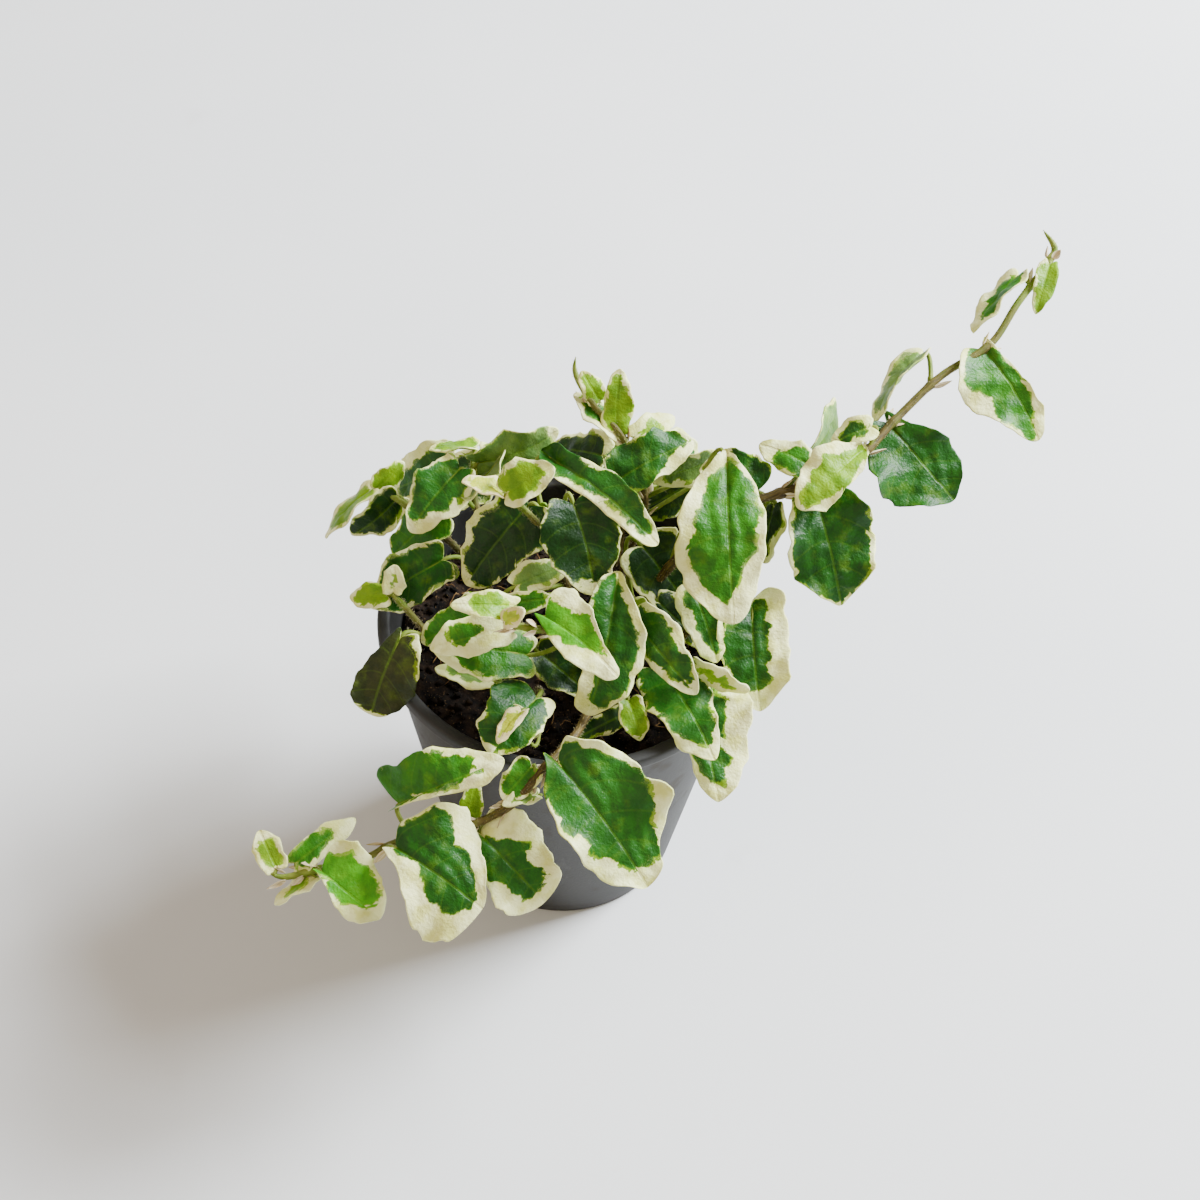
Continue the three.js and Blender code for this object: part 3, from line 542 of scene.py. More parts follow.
def blade_surface(leaf, seed, s, v):
    """Points of the blade's middle surface, and what the material needs to know about them."""
    start, along, face, right, length = blade_axes(leaf)
    u, ahead, row, rounding = lay_rows(leaf, s, v)
    halves = [rounding * half_width(width, row, seed, side)
              for side, width in enumerate((leaf.left, leaf.right))]
    half = np.where(v < 0, halves[0], halves[1])
    across = half * v
    onward = ahead * length
    vein = VEIN_PAIRS * (u - VEIN_SLANT * np.abs(across) / length - VEIN_CURVE * v**2 * half / length)
    vein = vein + VEIN_STAGGER * v + draw(seed, 11)

    arch = varied(ARCH, seed, 5) * length * 4 * u * (1 - u)
    cup = varied(CUP, seed, 6) * half * v**2
    shift = np.where(v < 0, draw(seed, 8), draw(seed, 9))
    wave = WAVE * half * v**2 * np.sin(2 * math.pi * (varied(WAVE_COUNT, seed, 7) * u + shift))
    frill = FRILL * half * v**4 * np.sin(2 * math.pi * (varied(FRILL_COUNT, seed, 10) * u + 3 * shift))
    height = arch + cup + wave + frill + puffed(seed, length, s, vein, across, onward, v)
    if notch_closes(leaf):
        step = BASE_OVERLAP * min(1, length / FULL_RELIEF_LENGTH)
        height = height + step * np.tanh(across / 0.2) * np.clip(-ahead / 0.08, 0, 1)
    sway = SWAY * (draw(seed, 14) - 0.5) * length * np.sin(math.pi * u) * (1 - v**2)
    points = (start + np.multiply.outer(onward, along)
              + np.multiply.outer(across + sway, right) + np.multiply.outer(height, face))
    return points, across, onward, vein, halves, row


def blade_faces(inner, count):
    """Faces of a closed blade, whose underside shares its edge, base and tip with its top."""
    top = 1 + np.arange(inner * count).reshape(inner, count)
    tip_index = 1 + inner * count
    under = top.copy()
    under[:, 1:-1] = tip_index + 1 + np.arange(inner * (count - 2)).reshape(inner, count - 2)
    faces = []
    for grid, flip in ((top, False), (under, True)):
        quads = np.stack([grid[:-1, :-1], grid[:-1, 1:], grid[1:, 1:], grid[1:, :-1]], axis=-1)
        ends = [(0, right_one, left_one) for left_one, right_one in zip(grid[0], grid[0, 1:])]
        ends += [(tip_index, left_one, right_one) for left_one, right_one in zip(grid[-1], grid[-1, 1:])]
        forms = quads.reshape(-1, 4).tolist() + ends
        faces += [form[::-1] for form in forms] if flip else forms
    return faces, tip_index


def gather(value):
    """A grid's values at the base, over the top, at the tip and over the underside."""
    flat = value.reshape(value.shape[0], value.shape[1], -1)
    middle_rows = flat[1:-1]
    parts = [flat[0, :1], middle_rows.reshape(-1, flat.shape[2]), flat[-1, :1],
             middle_rows[:, 1:-1].reshape(-1, flat.shape[2])]
    return np.concatenate(parts)


def blade(leaf, seed):
    """A thin closed blade: points, faces and the values that the material reads."""
    _, _, face, _, length = blade_axes(leaf)
    widest = [np.max(half) for half in (leaf.left, leaf.right)]
    rows = max(10, round(1.15 * length / MESH_CELL))
    columns = 2 * max(4, round(sum(widest) / 2 / MESH_CELL))
    s = (1 - np.cos(np.linspace(0, math.pi, rows + 1))) / 2
    v = np.linspace(-1, 1, columns + 1)
    v = np.concatenate([[-1, -EDGE_COLUMN], v[1:-1], [EDGE_COLUMN, 1]])
    s_grid, v_grid = np.meshgrid(s, v, indexing="ij")
    middle, across, onward, vein, halves, row = blade_surface(leaf, seed, s_grid, v_grid)
    thin = BLADE_THICKNESS / 2 * (1 - EDGE_THINNING * v_grid**2) * (np.abs(v_grid) < 1)
    thin[[0, -1]] = 0
    left, right, tip, base = leaf.cream
    inside = [halves[0] + across - by_rows(left, row), halves[1] - across - by_rows(right, row),
              length - onward - tip, onward + BASE_REACH * length - base]
    crowd = sum(np.exp(-BORDER_SHARPNESS * np.clip(part, -6, 6)) for part in inside)
    green = -np.log(crowd) / BORDER_SHARPNESS
    spot = np.stack([across, onward, np.full_like(onward, 17.0 * seed)], axis=-1)

    faces, tip_index = blade_faces(rows - 1, len(v))
    points = gather(middle)
    offset = gather(thin)[:, 0]
    is_under = np.arange(len(points)) > tip_index
    points = points + np.where(is_under, -offset, offset)[:, None] * face
    side_of = gather(np.stack([vein, np.abs(across), np.zeros_like(vein)], axis=-1))
    side_of[:, 2] = is_under
    return points, faces, gather(spot), side_of, gather(green)[:, 0]


example = blade(SHOOTS["centre"]["leaves"][3], 31)
print("One blade:", len(example[0]), "points and", len(example[1]), "faces")

# %% [markdown]
# ## Shader maths as Python
#
# A Blender material is a graph of nodes. Written node by node it is long and hard to read, so the
# Wire class wraps one socket. Adding, taking away, multiplying or comparing wires adds the Math
# node for it, and node() adds any other node with its settings and its inputs.

# %% Wires
class Wire:
    """An output socket of a material's nodes."""

    def __init__(self, tree, socket=None):
        self.tree, self.socket = tree, socket

    def node(self, kind, settings=None, inputs=None, output=0):
        """Adds a node. Settings come first, then the values or wires of its inputs."""
        made = self.tree.nodes.new(kind)
        for name, value in (settings or {}).items():
            setattr(made, name, value)
        for key, value in (inputs or {}).items():
            if isinstance(value, Wire):
                self.tree.links.new(value.socket, made.inputs[key])
            else:
                made.inputs[key].default_value = value
        return Wire(self.tree, made.outputs[output])

    def math(self, operation, *terms):
        return self.node("ShaderNodeMath", {"operation": operation}, dict(enumerate(terms)))

    def __add__(self, other):
        return self.math("ADD", self, other)

    __radd__ = __add__

    def __sub__(self, other):
        return self.math("SUBTRACT", self, other)

    def __mul__(self, other):
        return self.math("MULTIPLY", self, other)

    def __lt__(self, other):
        return self.math("LESS_THAN", self, other)

    def blend(self, factor, low, high, kind="MIX"):
        """Two colours mixed by a factor, or the second one laid over the first in another way."""
        settings = {"data_type": "RGBA", "blend_type": kind}
        return self.node("ShaderNodeMix", settings, {0: factor, 6: low, 7: high}, 2)

    def mix(self, low, high):
        """The colour low where this wire is 0, and high where it is 1."""
        return self.blend(self, low, high)

    def step(self, low, high):
        """Rises smoothly from 0 to 1 as this wire goes from low to high."""
        ends = {"Value": self, "From Min": low, "From Max": high}
        return self.node("ShaderNodeMapRange", {"interpolation_type": "SMOOTHSTEP"}, ends)

    def read(self, name, output="Fac"):
        """A mesh attribute."""
        return self.node("ShaderNodeAttribute", {"attribute_name": name}, output=output)

    def place(self):
        """The place in the piece's own space, in metres."""
        return self.node("ShaderNodeTexCoord", output="Object")

    def cloud(self, vector, scale, detail, output=0):
        """Soft noise between 0 and 1. Output 1 has three of them, as a vector."""
        inputs = {"Vector": vector, "Scale": scale, "Detail": detail}
        return self.node("ShaderNodeTexNoise", {}, inputs, output)

    def stretch(self, vector, x, y, z):
        """A vector with each of its parts multiplied."""
        return self.node("ShaderNodeVectorMath", {"operation": "MULTIPLY"}, {0: vector, 1: (x, y, z)})

    def parts(self, vector):
        """The three numbers of a vector."""
        split = self.node("ShaderNodeSeparateXYZ", {}, {0: vector})
        outputs = split.socket.node.outputs
        return [Wire(self.tree, outputs[i]) for i in range(3)]


def paint(red, green, blue):
    """A colour as the eye reads it, 0 to 255, as the linear colour that a shader needs."""
    return tuple((channel / 255) ** 2.2 for channel in (red, green, blue)) + (1.0,)


def finish(name, recipe, specular):
    """A material. The recipe returns its colour, its roughness, its relief and how deep that is."""
    material = bpy.data.materials.new(name)
    material.use_nodes = True
    tree = material.node_tree
    shader = next(node for node in tree.nodes if node.type == "BSDF_PRINCIPLED")
    shader.inputs["Specular IOR Level"].default_value = specular
    wires = Wire(tree)
    colour, roughness, relief, depth = recipe(wires)
    bump = wires.node("ShaderNodeBump", {}, {"Strength": 1.0, "Distance": depth * MM, "Height": relief})
    for socket, wire in (("Base Color", colour), ("Roughness", roughness), ("Normal", bump)):
        tree.links.new(wire.socket, shader.inputs[socket])
    print(name, "has", len(tree.nodes), "nodes")
    return material


# %% [markdown]
# ## The finish of a leaf
#
# In the real leaf the cells at the edge have no green, and the border between the two tissues steps
# in and out where it meets the side veins. So the material starts from the value "green", which is
# how many millimetres a point lies inside the border. Each sector between two veins moves the
# border in or out by its own amount, noise makes it ragged, and a thin fringe of yellow-green lies
# between the two. The heart of the leaf is mottled in two greens, its veins are lighter, and its
# underside is pale. The palest parts are cream and not white, because they are slightly yellow.

# %% The leaf finish
GREENS = {
    "dark": (20, 57, 0),
    "deep": (25, 80, 0),
    "leaf": (48, 114, 0),
    "blue": (34, 90, 18),
    "bright": (78, 160, 0),
    "lime": (122, 164, 0),
    "grey": (104, 136, 66),
    "olive": (52, 58, 20),
    "bud": (190, 196, 50),
}
CREAM = paint(242, 246, 176)
SHADED_CREAM = paint(222, 226, 132)
ROSE = paint(236, 196, 150)
FRINGE = paint(160, 196, 0)
VEIN_GREEN = paint(130, 178, 30)
UNDERSIDE = paint(144, 166, 100)
MOTTLE_SHADE = (0.6, 0.72, 0.62, 1)


def leaf_recipe(wires):
    spot = wires.read("spot", "Vector")
    vein, from_midrib, under = wires.parts(wires.read("side_of", "Vector"))
    tint = wires.read("tint", "Vector")
    blush = wires.read("blush")

    x, _, leaf_number = wires.parts(spot)
    sector = wires.math("FLOOR", vein * 2) + (x < 0) * 50
    place = wires.node("ShaderNodeCombineXYZ", {}, {0: sector, 1: leaf_number})
    sector_draw = wires.node("ShaderNodeTexWhiteNoise", {"noise_dimensions": "2D"}, {"Vector": place})
    ragged, mottle, haze = wires.parts(wires.cloud(spot, 0.42, 3.0, output=1))
    fray = wires.cloud(spot, 2.4, 2.0)
    unrest = (sector_draw - 0.5) * 1.1 + (ragged - 0.5) * 2.6 + (fray - 0.5) * 0.7
    inside = wires.read("green") + unrest * wires.read("unrest")

    heart = inside.step(-0.06, 0.06)
    fringe_width = wires.math("MAXIMUM", sector_draw * 2.6 - 1.8, 0.16)
    deep = (inside - fringe_width).step(-0.2, 0.15)
    pale_green = wires.blend(0.5, tint, FRINGE)
    shade = wires.blend(1.0, tint, MOTTLE_SHADE, "MULTIPLY")
    green = mottle.step(0.42, 0.6).mix(tint, shade)
    green = (haze.step(0.5, 0.72) * 0.2).mix(green, pale_green)
    green = deep.mix(pale_green, green)
    midrib = from_midrib.step(0.3, 0.08)
    vein_gap = wires.math("ABSOLUTE", wires.math("FRACT", vein) - 0.5)
    side_vein = vein_gap.step(0.43, 0.5)
    green = (wires.math("MAXIMUM", midrib * 0.14, side_vein * 0.07)).mix(green, VEIN_GREEN)

    cream = haze.step(0.4, 0.65).mix(CREAM, SHADED_CREAM)
    cream = blush.mix(cream, ROSE)
    colour = heart.mix(cream, green)
    colour = (under * 0.55).mix(colour, UNDERSIDE)

    roughness = 0.37 + haze * 0.2 + under * 0.15
    relief = fray * 0.6 + mottle - midrib * 0.25
    return colour, roughness, relief, 0.2


leaf_finish = finish("variegated_leaf", leaf_recipe, specular=0.28)

# %% [markdown]
# ## The finish of stems, stipules and hairs
#
# Young stems are green and turn olive and brown as they age, with fine lines along them and short
# pale hairs. At each node sit two stipules, dry papery scales that once wrapped the bud. The value
# "age" runs from 0 on a young stalk to 1 on old wood.

# %% The stem, stipule and hair finishes
def stem_recipe(wires):
    spot = wires.read("spot", "Vector")
    age = wires.read("age")
    streak = wires.cloud(wires.stretch(spot, 3.0, 0.4, 1.0), 1.6, 3.0)
    patch = wires.cloud(spot, 0.5, 2.0)
    young = patch.step(0.3, 0.7).mix(paint(96, 118, 28), paint(134, 146, 58))
    old = streak.step(0.35, 0.65).mix(paint(58, 46, 16), paint(100, 84, 38))
    colour = (age + (patch - 0.5) * 0.5).step(0.2, 0.8).mix(young, old)
    roughness = 0.55 + streak * 0.25
    return colour, roughness, streak + patch * 0.5, 0.09


def stipule_recipe(wires):
    spot = wires.read("spot", "Vector")
    grain = wires.cloud(wires.stretch(spot, 4.0, 0.5, 1.0), 1.2, 3.0)
    colour = grain.step(0.3, 0.75).mix(paint(176, 150, 104), paint(228, 216, 186))
    return colour, 0.6 + grain * 0.2, grain, 0.06


def hair_recipe(wires):
    tone = wires.cloud(wires.read("spot", "Vector"), 0.8, 1.0)
    colour = tone.mix(paint(150, 140, 96), paint(208, 198, 160))
    return colour, 0.5 + tone * 0.2, tone, 0.01


stem_finish = finish("olive_stem", stem_recipe, specular=0.35)
stipule_finish = finish("papery_stipule", stipule_recipe, specular=0.3)
hair_finish = finish("stem_hair", hair_recipe, specular=0.4)

# %% [markdown]
# ## Leaves on their shoots
#
# Every shoot's blades become one piece, which replaces the shoot's CAD node. A tint and a blush go
# with each blade, so one finish serves all leaves. The value "unrest" is smaller on a short blade, so
# that its border wanders less.

# %% Grow the leaves
TONE = (0.88, 0.24)
BLUSH = 0.1
BUD_BLUSH = 0.5
LEAST_UNREST = 0.35
UNREST_PER_MM = 0.04

seed = 1
for name, shoot in SHOOTS.items():
    builder = Builder()
    shoot["first_seed"] = seed
    for leaf in shoot["leaves"]:
        points, faces, spot, side_of, green = blade(leaf, seed)
        tint = np.array(paint(*GREENS[leaf.heart])[:3]) * varied(TONE, seed, 30)
        blush = BUD_BLUSH if leaf.heart == "bud" else BLUSH * draw(seed, 31)
        unrest = min(1, LEAST_UNREST + UNREST_PER_MM * blade_axes(leaf)[4])
        builder.add(points, faces, spot=spot, side_of=side_of, green=green,
                    tint=np.tile(tint, (len(points), 1)), blush=np.full(len(points), blush),
                    unrest=np.full(len(points), unrest))
        seed += 1
    leaves = builder.make(name + "_leaves", [leaf_finish])
    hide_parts("shoot_" + name)
    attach(leaves, "root")
    print(leaves.name, len(leaves.data.polygons), "faces")

# %% [markdown]
# ## Stems, stalks and hairs
#
# A leaf's stalk leaves the stem, bows over and runs into the blade, where it becomes the midrib
# that stands out under the leaf. So stalk and midrib are one tube that gets thinner. The stem swells
# a little at each node and ends in a pointed bud. The hairs are tiny three-sided spikes on the
# stem and the stalks: too small to see one by one, but they soften the outline. The value "age" makes
# the stem brown at its foot and green in its last part.

# %% Stalks and stems
STEM_SIDES = 12
STALK_STEPS = 12
STALK_SIDES = 8
STALK_RADIUS = 0.42
STALK_SINK = 0.12
RIB_SINK = 0.16
RIB_START = 0.2
RIB_END = 0.8
NODE_SWELL = 0.22
NODE_WIDTH = 0.9
BUD_LENGTH = 3.2
GREEN_PART = 0.85
STEM_HAIRS = 0.35
STALK_HAIRS = 0.3
HAIR_WIDTH = 0.035
HAIR_LENGTH = (0.25, 0.35)


def stalk_path(leaf, seed, stem):
    """From the stem into the blade, then along the underside of the midrib."""
    start, along, face, _, _ = blade_axes(leaf)
    root = stem[round(leaf.place / 100 * (len(stem) - 1))]
    reach = start - root
    distance = np.linalg.norm(reach)
    turns_back = reach.dot(along) < -0.3 * distance
    bend = start - along * (0.6 if turns_back else 0.35) * distance
    t = np.linspace(0, 1, STALK_STEPS)[:, None]
    stalk = bowed(t, root, bend, start - STALK_SINK * face)
    midrib = np.linspace(RIB_START, RIB_END, STALK_STEPS)
    rib = blade_surface(leaf, seed, midrib, np.zeros(STALK_STEPS))[0]
    return np.concatenate([stalk, rib - RIB_SINK * face])


def stem_radii(shoot):
    """Thickness along the stem: thinner to the tip, swollen at the nodes, pointed at the bud."""
    place = np.linspace(0, 1, len(shoot["path"]))
    length = path_length(shoot["path"])
    radii = shoot["radius"] * (1.02 - 0.3 * place)
    for leaf in shoot["leaves"]:
        radii *= 1 + NODE_SWELL * np.exp(-(((place - leaf.place / 100) * length / NODE_WIDTH) ** 2))
    to_tip = (1 - place) * length
    return radii * np.clip((to_tip / BUD_LENGTH) ** 0.6, 0.06, 1)


def add_hairs(builder, points, normals, share, first_draw):
    """Short spikes that stand out from a share of a tube's points and lean a little."""
    for i in range(len(points)):
        if draw(first_draw, i) > share:
            continue
        lean = np.array([draw(i, first_draw + k) - 0.5 for k in (1, 2, 3)])
        direction = unit(normals[i] + 0.7 * lean)
        sideways = unit(np.cross(direction, [0.2, 0.3, 0.9]))
        other = np.cross(direction, sideways)
        foot = points[i] - 0.05 * normals[i]
        corners = [foot + HAIR_WIDTH * (math.cos(angle) * sideways + math.sin(angle) * other)
                   for angle in (0, 2.1, 4.2)]
        tip = foot + direction * varied(HAIR_LENGTH, first_draw, i + 7)
        builder.add([*corners, tip], [(0, 1, 3), (1, 2, 3), (2, 0, 3), (2, 1, 0)], slot=1,
                    spot=np.tile(foot, (4, 1)), age=np.zeros(4))


for name, shoot in SHOOTS.items():
    builder = Builder()
    points, faces, normals, places = tube(shoot["path"], stem_radii(shoot), STEM_SIDES)
    number = shoot["first_seed"]
    spot = np.column_stack([places, np.full(len(points), 5.0 * number)])
    place = np.repeat(np.linspace(0, 1, STEM_STEPS), STEM_SIDES)
    age = 1 - 0.55 * place - np.clip((place - GREEN_PART) / 0.1, 0, 0.6)
    builder.add(points, faces, spot=spot, age=age)
    above_soil = points[:, 2] > SOIL_TOP
    add_hairs(builder, points[above_soil], normals[above_soil], STEM_HAIRS, number)
    for i, leaf in enumerate(shoot["leaves"]):
        path = stalk_path(leaf, number + i, shoot["path"])
        radii = np.concatenate([np.linspace(STALK_RADIUS, 0.8 * STALK_RADIUS, STALK_STEPS),
                                np.linspace(0.75 * STALK_RADIUS, 0.05, STALK_STEPS)])
        radii *= min(1, 0.45 + 0.06 * blade_axes(leaf)[4])
        points, faces, normals, places = tube(path, radii, STALK_SIDES)
        spot = np.column_stack([places, np.full(len(points), 3.0 * (number + i))])
        young = 0.25 - 0.25 * np.repeat(np.linspace(0, 1, 2 * STALK_STEPS), STALK_SIDES)
        builder.add(points, faces, spot=spot, age=young)
        stalk = slice(0, STALK_STEPS * STALK_SIDES)
        add_hairs(builder, points[stalk], normals[stalk], STALK_HAIRS, 100 + number + i)
    stem = builder.make(name + "_stem", [stem_finish, hair_finish])
    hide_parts("shoot_" + name)
    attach(stem, "root")
    print(stem.name, len(stem.data.polygons), "faces")

# %% [markdown]
# ## Stipules
#
# The dry scales stand at the nodes of the four shoots where they show best. Each is a narrow
# pointed blade, cupped round the stem.

# %% Stipules at the nodes
STIPULE_LENGTH = 2.4
STIPULE_SHARE = (0.7, 0.5)
STIPULE_WIDTH = 0.7
STIPULE_THICKNESS = 0.07
LOWEST_STIPULE = 25


def scale_blade(start, along, face, length, width, number):
    """A narrow pointed scale as a closed form, thin at its edges."""
    rows, columns = 9, 7
    u, v = np.meshgrid(np.linspace(0, 1, rows), np.linspace(-1, 1, columns), indexing="ij")
    half = width * np.sin(math.pi * np.clip(u, 0.04, 0.985) ** 0.7) ** 0.8
    right = np.cross(along, face)
    lift = 0.5 * half * v**2 + 0.25 * length * u**2
    middle = (start + np.multiply.outer(length * u, along) + np.multiply.outer(half * v, right)
              + np.multiply.outer(lift, face))
    thick = STIPULE_THICKNESS * (1 - np.abs(v) ** 3)[..., None] * face
    top = (middle + thick).reshape(-1, 3)
    low = (middle - thick).reshape(-1, 3)
    grid = np.arange(rows * columns).reshape(rows, columns)
    faces = []
    for i in range(rows - 1):
        for j in range(columns - 1):
            a, b, c, d = grid[i, j], grid[i, j + 1], grid[i + 1, j + 1], grid[i + 1, j]
            faces += [(a, b, c, d), tuple(k + rows * columns for k in (d, c, b, a))]
    rim = [*grid[0], *grid[1:, -1], *grid[-1, -2::-1], *grid[-2:0:-1, 0]]
    for a, b in zip(rim, rim[1:] + rim[:1]):
        faces.append((b, a, a + rows * columns, b + rows * columns))
    spot = np.stack([half * v, length * u, np.full_like(u, number)], axis=-1).reshape(-1, 3)
    return np.concatenate([top, low]), faces, np.concatenate([spot, spot])


builder = Builder()
number = 0
for name in ("right_tendril", "front_tendril", "centre", "upright"):
    shoot = SHOOTS[name]
    path = shoot["path"]
    for leaf in shoot["leaves"]:
        if leaf.place < LOWEST_STIPULE:
            continue
        i = min(len(path) - 8, round(leaf.place / 100 * (len(path) - 1)))
        heading = unit(path[i + 3] - path[i - 3])
        for turn in (0.4, 0.4 + math.pi):
            outward = facing(heading, turn + 2 * draw(number, 1))
            start = path[i] + 0.55 * outward
            length = STIPULE_LENGTH * varied(STIPULE_SHARE, number, 2)
            points, faces, spot = scale_blade(start, unit(heading + 0.25 * outward), outward,
                                              length, STIPULE_WIDTH, 11.0 * number)
            builder.add(points, faces, spot=spot)
            number += 1
stipules = builder.make("stipules", [stipule_finish])
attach(stipules, "root")
print(number, "stipules")

# %% [markdown]
# ## The pot
#
# A nursery pot is injection moulded from thin dark plastic: a taper, a rolled lip to lift it by and
# holes in its floor. It is round, so its section is turned about the axis in code, with every
# corner of the section rounded first, because a moulded edge is never sharp. The drain holes are
# then cut with a Boolean modifier, which is applied.

# %% Turn the pot
TURNED_SIDES = 144
CORNER_RADIUS = 0.7
CORNER_STEPS = 4
WALL_SPACING = 3.5


def rounded(profile, radius):
    """A profile whose corners are cut by small arcs. Its two ends stay."""
    soft = [np.array(profile[0], dtype=float)]
    for before, corner, after in zip(profile, profile[1:], profile[2:]):
        before, corner, after = (np.array(point, dtype=float) for point in (before, corner, after))
        reach_in = min(radius, 0.45 * np.linalg.norm(before - corner))
        reach_out = min(radius, 0.45 * np.linalg.norm(after - corner))
        start = corner + reach_in * unit(before - corner)
        end = corner + reach_out * unit(after - corner)
        soft += [bowed(t, start, corner, end) for t in np.linspace(0, 1, CORNER_STEPS)]
    soft.append(np.array(profile[-1], dtype=float))
    return soft


def evenly(profile, spacing):
    """The profile with more points on its long lines, so that smooth shading stays at its corners."""
    dense = [profile[0]]
    for start, end in zip(profile, profile[1:]):
        count = math.ceil(np.linalg.norm(end - start) / spacing)
        dense += [start + (end - start) * i / count for i in range(1, count + 1)]
    return dense


def turned(profile, sides):
    """A closed form turned about Z. The profile runs from the axis to the axis, from below."""
    points = [(0, 0, profile[0][1])]
    rings = profile[1:-1]
    for radius, z in rings:
        points += [(*polar(radius, 2 * math.pi * side / sides), z) for side in range(sides)]
    points.append((0, 0, profile[-1][1]))
    faces = []
    for side in range(sides):
        beside = (side + 1) % sides
        faces.append((0, 1 + beside, 1 + side))
        for ring in range(len(rings) - 1):
            low, high = 1 + ring * sides, 1 + (ring + 1) * sides
            faces.append((low + side, low + beside, high + beside, high + side))
        last = 1 + (len(rings) - 1) * sides
        faces.append((len(points) - 1, last + side, last + beside))
    return np.array(points), faces


def wall_radius(z):
    """Radius of the pot's outer wall at a height."""
    return BASE_RADIUS + (RIM_RADIUS - LIP_PROUD - BASE_RADIUS) * z / POT_HEIGHT


lip_bottom = POT_HEIGHT - LIP_HEIGHT
inner_top = wall_radius(POT_HEIGHT) - WALL
pot_profile = [
    (0, 0), (BASE_RADIUS, 0), (wall_radius(lip_bottom), lip_bottom), (RIM_RADIUS, lip_bottom + 0.2),
    (RIM_RADIUS, POT_HEIGHT), (inner_top, POT_HEIGHT), (wall_radius(FLOOR) - WALL, FLOOR), (0, FLOOR),
]
builder = Builder()
points, faces = turned(evenly(rounded(pot_profile, CORNER_RADIUS), WALL_SPACING), TURNED_SIDES)
builder.add(points, faces)
print("The turned pot has", len(points), "points and", len(faces), "faces")

# %% [markdown]
# The plastic is matt and dark grey. It has the fine grain of the mould, faint scuffs where it
# rubbed against other pots, and a little dry soil dust in patches.

# %% The pot's finish and its drain holes
def pot_recipe(wires):
    place = wires.place()
    grain = wires.cloud(place, 2600, 2.0)
    cloudy = wires.cloud(place, 60, 4.0)
    scuff = wires.cloud(wires.stretch(place, 1, 1, 0.4), 420, 3.0).step(0.62, 0.74)
    dust = wires.cloud(place, 240, 5.0).step(0.56, 0.78)
    plastic = cloudy.step(0.2, 0.8).mix(paint(40, 39, 38), paint(48, 47, 46))
    plastic = (scuff * 0.12).mix(plastic, paint(98, 97, 96))
    colour = (dust * 0.22).mix(plastic, paint(88, 77, 62))
    roughness = 0.5 + cloudy * 0.16 + dust * 0.15
    return colour, roughness, grain + cloudy * 0.5, 0.03


pot_finish = finish("matt_grey_plastic", pot_recipe, specular=0.4)
pot = builder.make("nursery_pot", [pot_finish])
for i in range(DRAIN_HOLES):
    angle = (i + 0.5) * 2 * math.pi / DRAIN_HOLES
    centre = Vector((*polar(DRAIN_CIRCLE, angle), 0)) * MM
    bpy.ops.mesh.primitive_cylinder_add(vertices=32, radius=DRAIN_RADIUS * MM, depth=4 * FLOOR * MM,
                                        location=centre)
    drill = bpy.context.object
    cut = pot.modifiers.new("drain", "BOOLEAN")
    cut.operation, cut.solver, cut.object = "DIFFERENCE", "EXACT", drill
    bpy.context.view_layer.objects.active = pot
    bpy.ops.object.modifier_apply(modifier="drain")
    bpy.data.objects.remove(drill)
# The cut walls get the same finish, as the only one.
pot.data.materials.clear()
pot.data.materials.append(pot_finish)
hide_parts("pot")
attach(pot, "root")
print("Pot faces:", len(pot.data.polygons))

# %% [markdown]
# ## The soil
#
# Potting mix is a heap of dark crumbs, with a few pale fibres of peat or coir. The bed is one
# closed form with a lumpy top, and hundreds of crumbs of mixed sizes lie on it, so that its
# surface is broken up from every side. A height map alone would look like crumpled cloth.

# %% The bed and its crumbs
SOIL_RINGS = 44
FINE_LUMP = 0.75
SOIL_SIDES = 120
CRUMBS = 900
CRUMB_RINGS = 4
CRUMB_SIDES = 6
CRUMB_SIZE = (0.25, 0.95)
CRUMB_DENT = (0.75, 0.5)
CRUMB_WIDTH = (0.7, 0.3)


def soil_height(x, y):
    """The source's lumpy surface, with finer lumps on it."""
    lumps = math.sin(0.31 * x + 1) * math.cos(0.27 * y) + 0.4 * math.sin(0.6 * y + 0.5 * x)
    fine = noise.fractal(Vector((x, y, 0)) * 0.6, 0.8, 2.2, 4)
    return SOIL_TOP + SOIL_LUMP * lumps + FINE_LUMP * fine


bottom = FLOOR + CLEARANCE
bed_edge = wall_radius(SOIL_TOP) - WALL - CLEARANCE
bed_profile = [(0, bottom), (wall_radius(bottom) - WALL - CLEARANCE, bottom), (bed_edge, SOIL_TOP - 1)]
bed_profile += [(bed_edge * (1 - ring / SOIL_RINGS), SOIL_TOP) for ring in range(1, SOIL_RINGS + 1)]
points, faces = turned(bed_profile, SOIL_SIDES)
top = points[:, 2] > SOIL_TOP - 0.5
points[top, 2] = [soil_height(x, y) for x, y in points[top, :2]]
builder = Builder()
builder.add(points, faces)
_, crumb_faces = turned([(0, -1)] + [(1, 0)] * (CRUMB_RINGS - 1) + [(0, 1)], CRUMB_SIDES)


